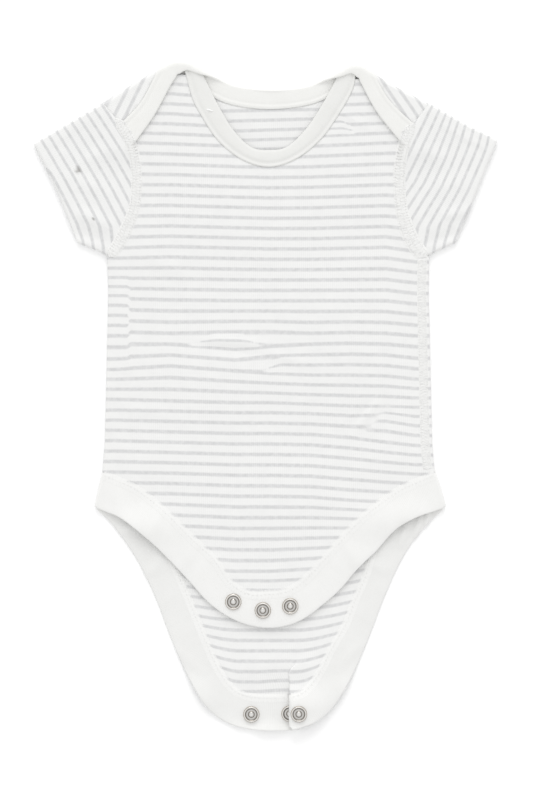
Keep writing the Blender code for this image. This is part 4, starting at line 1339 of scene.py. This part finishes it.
# ---- ring snaps ----
SNAP_ROUND = 56
SNAP_SHARP = math.radians(50)
SNAP_MIDDLE = 0.02  # the radius of the smallest ring
SNAP_PROUD = 0.05  # above its solid
SnapPoint = namedtuple("SnapPoint", "radius height recess warm")
# the third column is how much painted shade a ring has, and the fourth its warm tint
SNAP_TURN = rows(  # from the middle of the stud down to the cloth, heights above the cloth's face
    SnapPoint, (0, 1.30, 0, 0), (0.6, 1.28, 0.05, 0), (1.15, 1.16, 0.3, 0), (1.5, 0.96, 0.6, 0.1),
    (1.75, 0.72, 0.9, 0.3), (1.85, 0.52, 1, 0.3), (2.1, 0.44, 0.6, 0.1), (2.5, 0.44, 0.25, 0),
    (2.95, 0.46, 0.55, 0), (3.25, 0.5, 0.95, 0.1), (3.45, 0.62, 1, 0.3), (3.6, 0.92, 1, 0.4),
    (3.8, 1.12, 0.5, 0.2), (4.1, 1.17, 0, 0), (4.42, 1.12, 0, 0.1), (4.58, 0.98, 0.5, 0.6),
    (4.74, 0.7, 0.8, 0.8), (4.84, 0.3, 0.9, 0.8), (4.5, -0.1, 1, 0.3),
)


def make_snap(name):
    centre = SNAPS[name]
    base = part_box(name)[1][2] / MM - SNAP_TURN[0].height + SNAP_PROUD
    angles = [2 * math.pi * k / SNAP_ROUND for k in range(SNAP_ROUND)]
    rings = []
    for spot in SNAP_TURN:
        across, height = max(spot.radius, SNAP_MIDDLE), base + spot.height
        rings.append([
            Vector((centre.x + across * math.cos(a), centre.y + across * math.sin(a), height)) for a in angles
        ])
    looks = {
        "recess": [spot.recess for spot in SNAP_TURN for _ in angles],
        "warm": [spot.warm for spot in SNAP_TURN for _ in angles],
    }
    return piece(sweep(name + "_metal", rings, NICKEL, looks, SNAP_SHARP), [name])


# ---- flat seams and their threads ----
# A flat seam is a low band of stitching over a joint, laid on whatever cloth is under it. It is
# left and right wide to each side, and wider low down by left_low and right_low. Its stitches
# are pitch apart, and thread is the radius of their thread. The stripes show through it between
# show_from and show_to across it. Where the cloth is lower than least, the band hangs past it.
# The strength of its hatch is how deep the stitching's grooves are and how dark their painted shade is.
FlatSeam = namedtuple(
    "FlatSeam",
    "name left right left_low right_low height pucker pitch thread fade_start fade_end zigzag rows"
    " show_from show_to show hatch least phase",
)
LOW_AT = 14.0  # along a seam from its start, where it is widened
LOW_REACH = 24.0
STRIP_STEP = 0.5
SHARES = [k / 10 for k in range(11)]  # across a strip
SUNK = 0.25  # the band's underside is sunk this far into the cloth
PROUD = 0.04
BLUNT = 0.25  # a band's widening starts this far on, so that its ends are blunt
BAND_ROUND = 3  # the power by which a band's cross-section falls to its edges
BAND_WANDER, BAND_WANDER_SIZE, BAND_SEED = 0.6, 6.0, (2.0, 5.0)  # of its puckers
SMOOTHED, OWN = 8, 4  # the weight of a point's own height when the heights are evened out
HANGING = 0.6  # where a band's edge has no cloth under it, it hangs this far below its highest point
# The zigzag's thread turns at two shares of the band's width, sunk into it, and crosses over
# the middle. A step or a length that is a pair of numbers is chosen between them.
ZIGZAG_SIDES = (0.1, 0.9)
ZIGZAG_END = 0.4  # clear of the band's ends, mm
ZIGZAG_STEP = (0.42, 0.58)  # of the pitch
TURN_WANDER, TURN_SUNK = 0.05, 0.02  # of the width, mm
CROSSING, CROSSING_ASIDE, CROSSING_OVER = 0.25, 0.1, 0.04  # of the pitch, of the width, mm
ROW_START = (0.3, 1.0)  # mm
NEEDLE_LENGTH = (0.6, 0.75)  # of the pitch
NEEDLE_WANDER = 0.015  # of the width
NEEDLE_STITCH = ((0, -0.1), (0.3, 0.12), (0.7, 0.12), (1, -0.1))  # share along it, height over the band
THREAD_SIDES = 5
THREAD_SHARP = math.radians(80)
RAY_FROM = 40.0


def height_over(things):
    """A function that gives the top of the cloth at a place on the garment, mm."""
    graph = bpy.context.evaluated_depsgraph_get()
    trees = [BVHTree.FromObject(thing, graph) for thing in things]

    def height(x, y):
        hits = [tree.ray_cast(Vector((x, y, RAY_FROM)) * MM, -UP)[0] for tree in trees]
        return max((hit.z / MM for hit in hits if hit), default=0.0)

    return height


def resampled(path):
    """Points STRIP_STEP apart along a path, with the distance along it."""
    along = lengths_along(path)
    places = np.linspace(0, along[-1], max(2, round(along[-1] / STRIP_STEP)) + 1)
    xs, ys = (np.interp(places, along, column) for column in zip(*path))
    return [Vector(p) for p in zip(xs, ys)], list(places)


class Strip:
    """A flat seam's places: s runs along it in mm, t from 0 at its left edge to 1 at its right."""

    def __init__(self, seam, path, height):
        self.seam = seam
        self.points, self.along = resampled(path)
        self.length = self.along[-1]
        last = len(self.points) - 1
        runs = [self.points[min(k + 2, last)] - self.points[max(k - 2, 0)] for k in range(last + 1)]
        self.left = [Vector((-run.y, run.x)).normalized() for run in runs]
        base = np.array([[height(*self.place_at(k, t)) for t in SHARES] for k in range(last + 1)])
        base = np.where(base < seam.least, base.max(axis=1, keepdims=True) - HANGING, base)
        for _ in range(2):
            padded = np.pad(base, 1, mode="edge")
            base = np.maximum(base, (padded[1:-1, :-2] + padded[1:-1, 2:]) / 2)
            padded = np.pad(base, 1, mode="edge")
            beside = padded[1:-1, :-2] + padded[1:-1, 2:] + padded[:-2, 1:-1] + padded[2:, 1:-1]
            base = (beside + OWN * base) / SMOOTHED
        self.base = base

    def place_at(self, k, t):
        seam, along = self.seam, self.along[k]
        start = ease(BLUNT + along / seam.fade_start)
        end = ease(BLUNT + (self.length - along) / seam.fade_end)
        low = bell((along - LOW_AT) / LOW_REACH)
        left = (seam.left + seam.left_low * low) * start * end
        right = (seam.right + seam.right_low * low) * start * end
        p = self.points[k] + self.left[k] * (left * (1 - t) - right * t)
        return p.x, p.y

    def top(self, k, t):
        along = self.along[k]
        wander = BAND_WANDER * noise.noise(Vector((along / BAND_WANDER_SIZE, *BAND_SEED)))
        pucker = self.seam.pucker * math.sin(2 * math.pi * (along / PUCKER_PITCH + wander)) * (1 - t * t)
        swell = self.seam.height * (1 - abs(2 * t - 1) ** BAND_ROUND) + pucker
        return float(np.interp(t, SHARES, self.base[k])) + PROUD + swell

    def point(self, s, t, above):
        share = clamped(s / self.length) * (len(self.points) - 1)
        k = min(int(share), len(self.points) - 2)
        a, b = (Vector((*self.place_at(i, t), self.top(i, t))) for i in (k, k + 1))
        return a.lerp(b, share - k) + UP * above

    def skin(self):
        """The band itself, with the stripe under each point and how much of it shows."""
        seam, rings = self.seam, []
        shown = [seam.show * ease((t - seam.show_from) / (seam.show_to - seam.show_from)) for t in SHARES]
        looks = {"cloth": [], "phase": [], "show": [], "hatch": []}
        for k, along in enumerate(self.along):
            places = [self.place_at(k, t) for t in SHARES]
            over = [Vector((*p, self.top(k, t))) for p, t in zip(places, SHARES)]
            under = [Vector((*p, low - SUNK)) for p, low in zip(places, self.base[k])]
            rings.append(over + under[::-1])
            cloth = [(along, t * (seam.left + seam.right), 0) for t in SHARES]
            phases = [seam.phase(*p) for p in places]
            hatches = [seam.hatch] * len(SHARES)
            for look, row in zip(looks.values(), (cloth, phases, shown, hatches)):
                look += row + row[::-1]
        return sweep(seam.name, rings, STITCHED, looks)

    def runs(self, chance):
        """The looper thread's zigzag, and rows of needle stitches."""
        pitch, zigzag, s, side = self.seam.pitch, [], ZIGZAG_END, 0
        while s < self.length - ZIGZAG_END:
            t = ZIGZAG_SIDES[side] + chance.uniform(-TURN_WANDER, TURN_WANDER)
            zigzag.append(self.point(s, t, -TURN_SUNK))
            middle = 0.5 + (CROSSING_ASIDE, -CROSSING_ASIDE)[side]
            zigzag.append(self.point(s + pitch * CROSSING, middle, CROSSING_OVER))
            side = 1 - side
            s += pitch * chance.uniform(*ZIGZAG_STEP)
        runs = [zigzag] if self.seam.zigzag else []
        for t in self.seam.rows:
            s = chance.uniform(*ROW_START)
            while s < self.length - pitch:
                length = pitch * chance.uniform(*NEEDLE_LENGTH)
                wander = t + chance.uniform(-NEEDLE_WANDER, NEEDLE_WANDER)
                runs.append([self.point(s + length * share, wander, above) for share, above in NEEDLE_STITCH])
                s += pitch
        return runs


def thread_object(name, runs, radius, material):
    """All the thread of a seam as one mesh of thin tubes."""
    points, faces = [], []
    angles = [2 * math.pi * k / THREAD_SIDES for k in range(THREAD_SIDES)]
    for run in runs:
        first = len(points)
        for k, p in enumerate(run):
            ahead = (run[min(k + 1, len(run) - 1)] - run[max(k - 1, 0)]).normalized()
            side = ahead.cross(UP).normalized()
            over = side.cross(ahead)
            points += [p + (side * math.cos(a) + over * math.sin(a)) * radius for a in angles]
        faces += tube_faces(THREAD_SIDES, len(run), first)
        faces.append(tuple(reversed(range(first, first + THREAD_SIDES))))
        faces.append(tuple(range(len(points) - THREAD_SIDES, len(points))))
    return cloth_mesh(name, points, faces, material, sharp=THREAD_SHARP)


LOOSE_STITCH = ((-35.0, 171.4, -0.2), (-34.2, 171.3, 0.22), (-32.6, 170.9, 0.22), (-31.8, 170.7, -0.2))
LOOSE_RADIUS = 0.45


def make_loose_stitch():
    """The one stitch that shows on the front neck binding."""
    height = height_over([bindings["front_neck"]])
    run = [Vector((x, y, height(x, y) + lift)) for x, y, lift in LOOSE_STITCH]
    # its thread is painted brighter than the rest of the thread, as a highlight
    return piece(thread_object("neck_stitch", [run], LOOSE_RADIUS, HIGHLIGHT_THREAD), [])


def laid(points, side):
    return [Vector(lay(side * p.x, p.y)) for p in points]


def armhole_path(side):
    """Along the armhole seam as it lies, from the underarm up."""
    return laid([p for p in armhole_line() if p.y < ARMHOLE_TOPS[side]], side)


def leg_path(table):
    """Along a leg binding's seam, from side to side."""
    left, right = (laid(seam_line(table, side)[:-1], side) for side in (-1, 1))
    return left[::-1] + right[1:]


FLAP_SEEN = -84.0  # below this the back leg binding's seam isn't under the front
PLEAT_SEEN = PLEAT_EDGE + BODY_SHIFT + CROTCH_SHIFT
SIDE_SEAM_IN = 4.4  # from the garment's side
SIDE_SEAM_FROM, SIDE_SEAM_TO = 82.0, -44.0
ARMHOLE_TOPS = {-1: 166.0, 1: 164.0}
ARMHOLE_ROWS = (0.16, 0.5, 0.84)
PLEAT_LEFT, PLEAT_RIGHT = PLEAT_SEEN - 0.6, PLEAT_SEEN + 0.8  # the flap's seam stops at each
SEED = 11


def flap_phase(x, y):
    """The number of the back's stripe at a place on the flap as it lies."""
    return back_phase(x if x < PLEAT_SEEN else PLEAT_END, y, x)


LEFT_ARMHOLE = FlatSeam(
    "armhole_seam_left", 3.4, 3.3, 1.3, 0, 0.3, 0.04, 1.8, 0.11, 3, 8, True, ARMHOLE_ROWS,
    0.4, 1, 0.5, 0.8, 1.5, front_phase,
)
RIGHT_ARMHOLE = FlatSeam(
    "armhole_seam_right", 4.3, 3.1, 2.2, 0, 0.3, 0.06, 1.8, 0.11, 5, 8, True, ARMHOLE_ROWS,
    0.6, 0, 0.5, 0.9, 1.5, front_phase,
)
SIDE_SEAM = FlatSeam(
    "side_seam", 2.8, 2.8, 0, 0, 0.22, 0.04, 1.8, 0.11, 1, 1, True, (0.12, 0.88),
    1, 0.2, 0.35, 0.9, 0.9, front_phase,
)
FRONT_LEG_SEAM = FlatSeam(
    "front_leg_seam", 1.6, 4, 0, 0, 0.06, 0, 2.4, 0.08, 1, 1, False, (0.5,),
    0.32, 0, 0.95, 0.3, 0.9, front_phase,
)
LEFT_FLAP_SEAM = FRONT_LEG_SEAM._replace(
    name="back_leg_seam_left", left=1.4, right=3.6, height=0.05, fade_end=0.1, least=0.5, phase=flap_phase
)
RIGHT_FLAP_SEAM = LEFT_FLAP_SEAM._replace(name="back_leg_seam_right", fade_start=0.1, fade_end=1)


def make_flat_seams():
    """The band and the stitching of each flat seam, by its name."""
    everything = height_over([front_panel, back_panel, *sleeves, *bindings.values()])
    flap = height_over([back_panel, bindings["back_leg"]])
    side_heights = spaced(SIDE_SEAM_FROM, SIDE_SEAM_TO, STRIP_STEP)
    flap_path = [p for p in leg_path(BACK_LEG) if p.y < FLAP_SEEN]
    places = (
        (LEFT_ARMHOLE, armhole_path(-1), everything),
        (RIGHT_ARMHOLE, armhole_path(1), everything),
        (SIDE_SEAM, [Vector((lay(side_reach(y) - SIDE_SEAM_IN, y)[0], y)) for y in side_heights], everything),
        (FRONT_LEG_SEAM, leg_path(FRONT_LEG), everything),
        (LEFT_FLAP_SEAM, [p for p in flap_path if p.x < PLEAT_LEFT], flap),
        (RIGHT_FLAP_SEAM, [p for p in flap_path if p.x > PLEAT_RIGHT], flap),
    )
    chance = random.Random(SEED)
    made = {}
    for seam, path, height in places:
        strip = Strip(seam, path, height)
        name = seam.name.replace("seam", "stitching")
        parts = (strip.skin(), thread_object(name, strip.runs(chance), seam.thread, THREAD))
        made[seam.name] = [piece(part, []) for part in parts]
    return made


front_panel = make_front_panel()
back_panel = make_back_panel()
bindings = {name: make_binding(name) for name in BINDINGS}
sleeves = [make_sleeve("sleeve_left", -1), make_sleeve("sleeve_right", 1)]
for snap in SNAPS:
    make_snap(snap)
flat_seams = make_flat_seams()
loose_stitch = make_loose_stitch()


# ---- floor, light and camera ----
FLOOR_REACH = 3.0  # metres to each side
SUN_ENERGY = 1.13
SUN_ANGLE = math.radians(35)
SUN_FROM = Vector((-0.05, 1.9, 0.9))
PHOTO_HEIGHT = 480.0  # of the floor that the picture shows, mm
CAMERA_LENS = 100.0
SENSOR = 36.0
CAMERA_OVER = Vector((0.6, -2.4))


def placed(name, data):
    thing = bpy.data.objects.new(name, data)
    bpy.context.scene.collection.objects.link(thing)
    return thing


def make_floor():
    mesh = bpy.data.meshes.new("floor")
    corners = [(x * FLOOR_REACH, y * FLOOR_REACH, 0) for x, y in ((-1, -1), (1, -1), (1, 1), (-1, 1))]
    mesh.from_pydata(corners, [], [(0, 1, 2, 3)])
    look = {"Base Color": (0.96, 0.96, 0.96), "Roughness": 0.9, "Specular IOR Level": 0.0}
    mesh.materials.append(Nodes("white_floor").finish(look))
    placed("floor", mesh)


def make_lights():
    world = bpy.data.worlds.new("studio")
    bpy.context.scene.world = world
    world.use_nodes = True
    world.node_tree.nodes["Background"].inputs["Color"].default_value = (1, 1, 1, 1)
    world.node_tree.nodes["Background"].inputs["Strength"].default_value = 1.0
    sun = bpy.data.lights.new("window", "SUN")
    sun.energy = SUN_ENERGY
    sun.angle = SUN_ANGLE
    placed("window", sun).rotation_euler = SUN_FROM.to_track_quat("Z", "Y").to_euler()


def make_camera():
    camera = bpy.data.cameras.new("camera")
    camera.lens = CAMERA_LENS
    camera.sensor_width = SENSOR
    thing = placed("camera", camera)
    thing.location = (CAMERA_OVER.x * MM, CAMERA_OVER.y * MM, PHOTO_HEIGHT * CAMERA_LENS / SENSOR * MM)
    bpy.context.scene.camera = thing


make_floor()
make_lights()
make_camera()
bpy.context.scene.view_settings.view_transform = "Standard"


def seam_pieces(*names):
    return [part for name in names for part in flat_seams[name]]


on_front = seam_pieces("armhole_seam_left", "armhole_seam_right", "side_seam")
on_back_leg = seam_pieces("back_leg_seam_left", "back_leg_seam_right")
for thing, width, length, held, under, sewn_on in (  # the cut of what shows, in metres
    (front_panel, 0.200, 0.315, "laid", "back_panel_cloth", on_front),
    (back_panel, 0.215, 0.385, "laid", "floor", []),
    (sleeves[0], 0.150, 0.062, "laid", "floor", []),
    (sleeves[1], 0.150, 0.062, "laid", "floor", []),
    (bindings["front_neck"], 0.012, 0.155, "laid", "back_panel_cloth", [loose_stitch]),
    (bindings["back_neck"], 0.013, 0.245, "folded", "front_panel_cloth", []),
    (bindings["front_leg"], 0.024, 0.260, "laid", "back_panel_cloth", seam_pieces("front_leg_seam")),
    (bindings["back_leg"], 0.022, 0.360, "folded", "floor", on_back_leg),
):
    flat, area = (width, length), min(measured(thing), width * length)
    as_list(sewn_on)
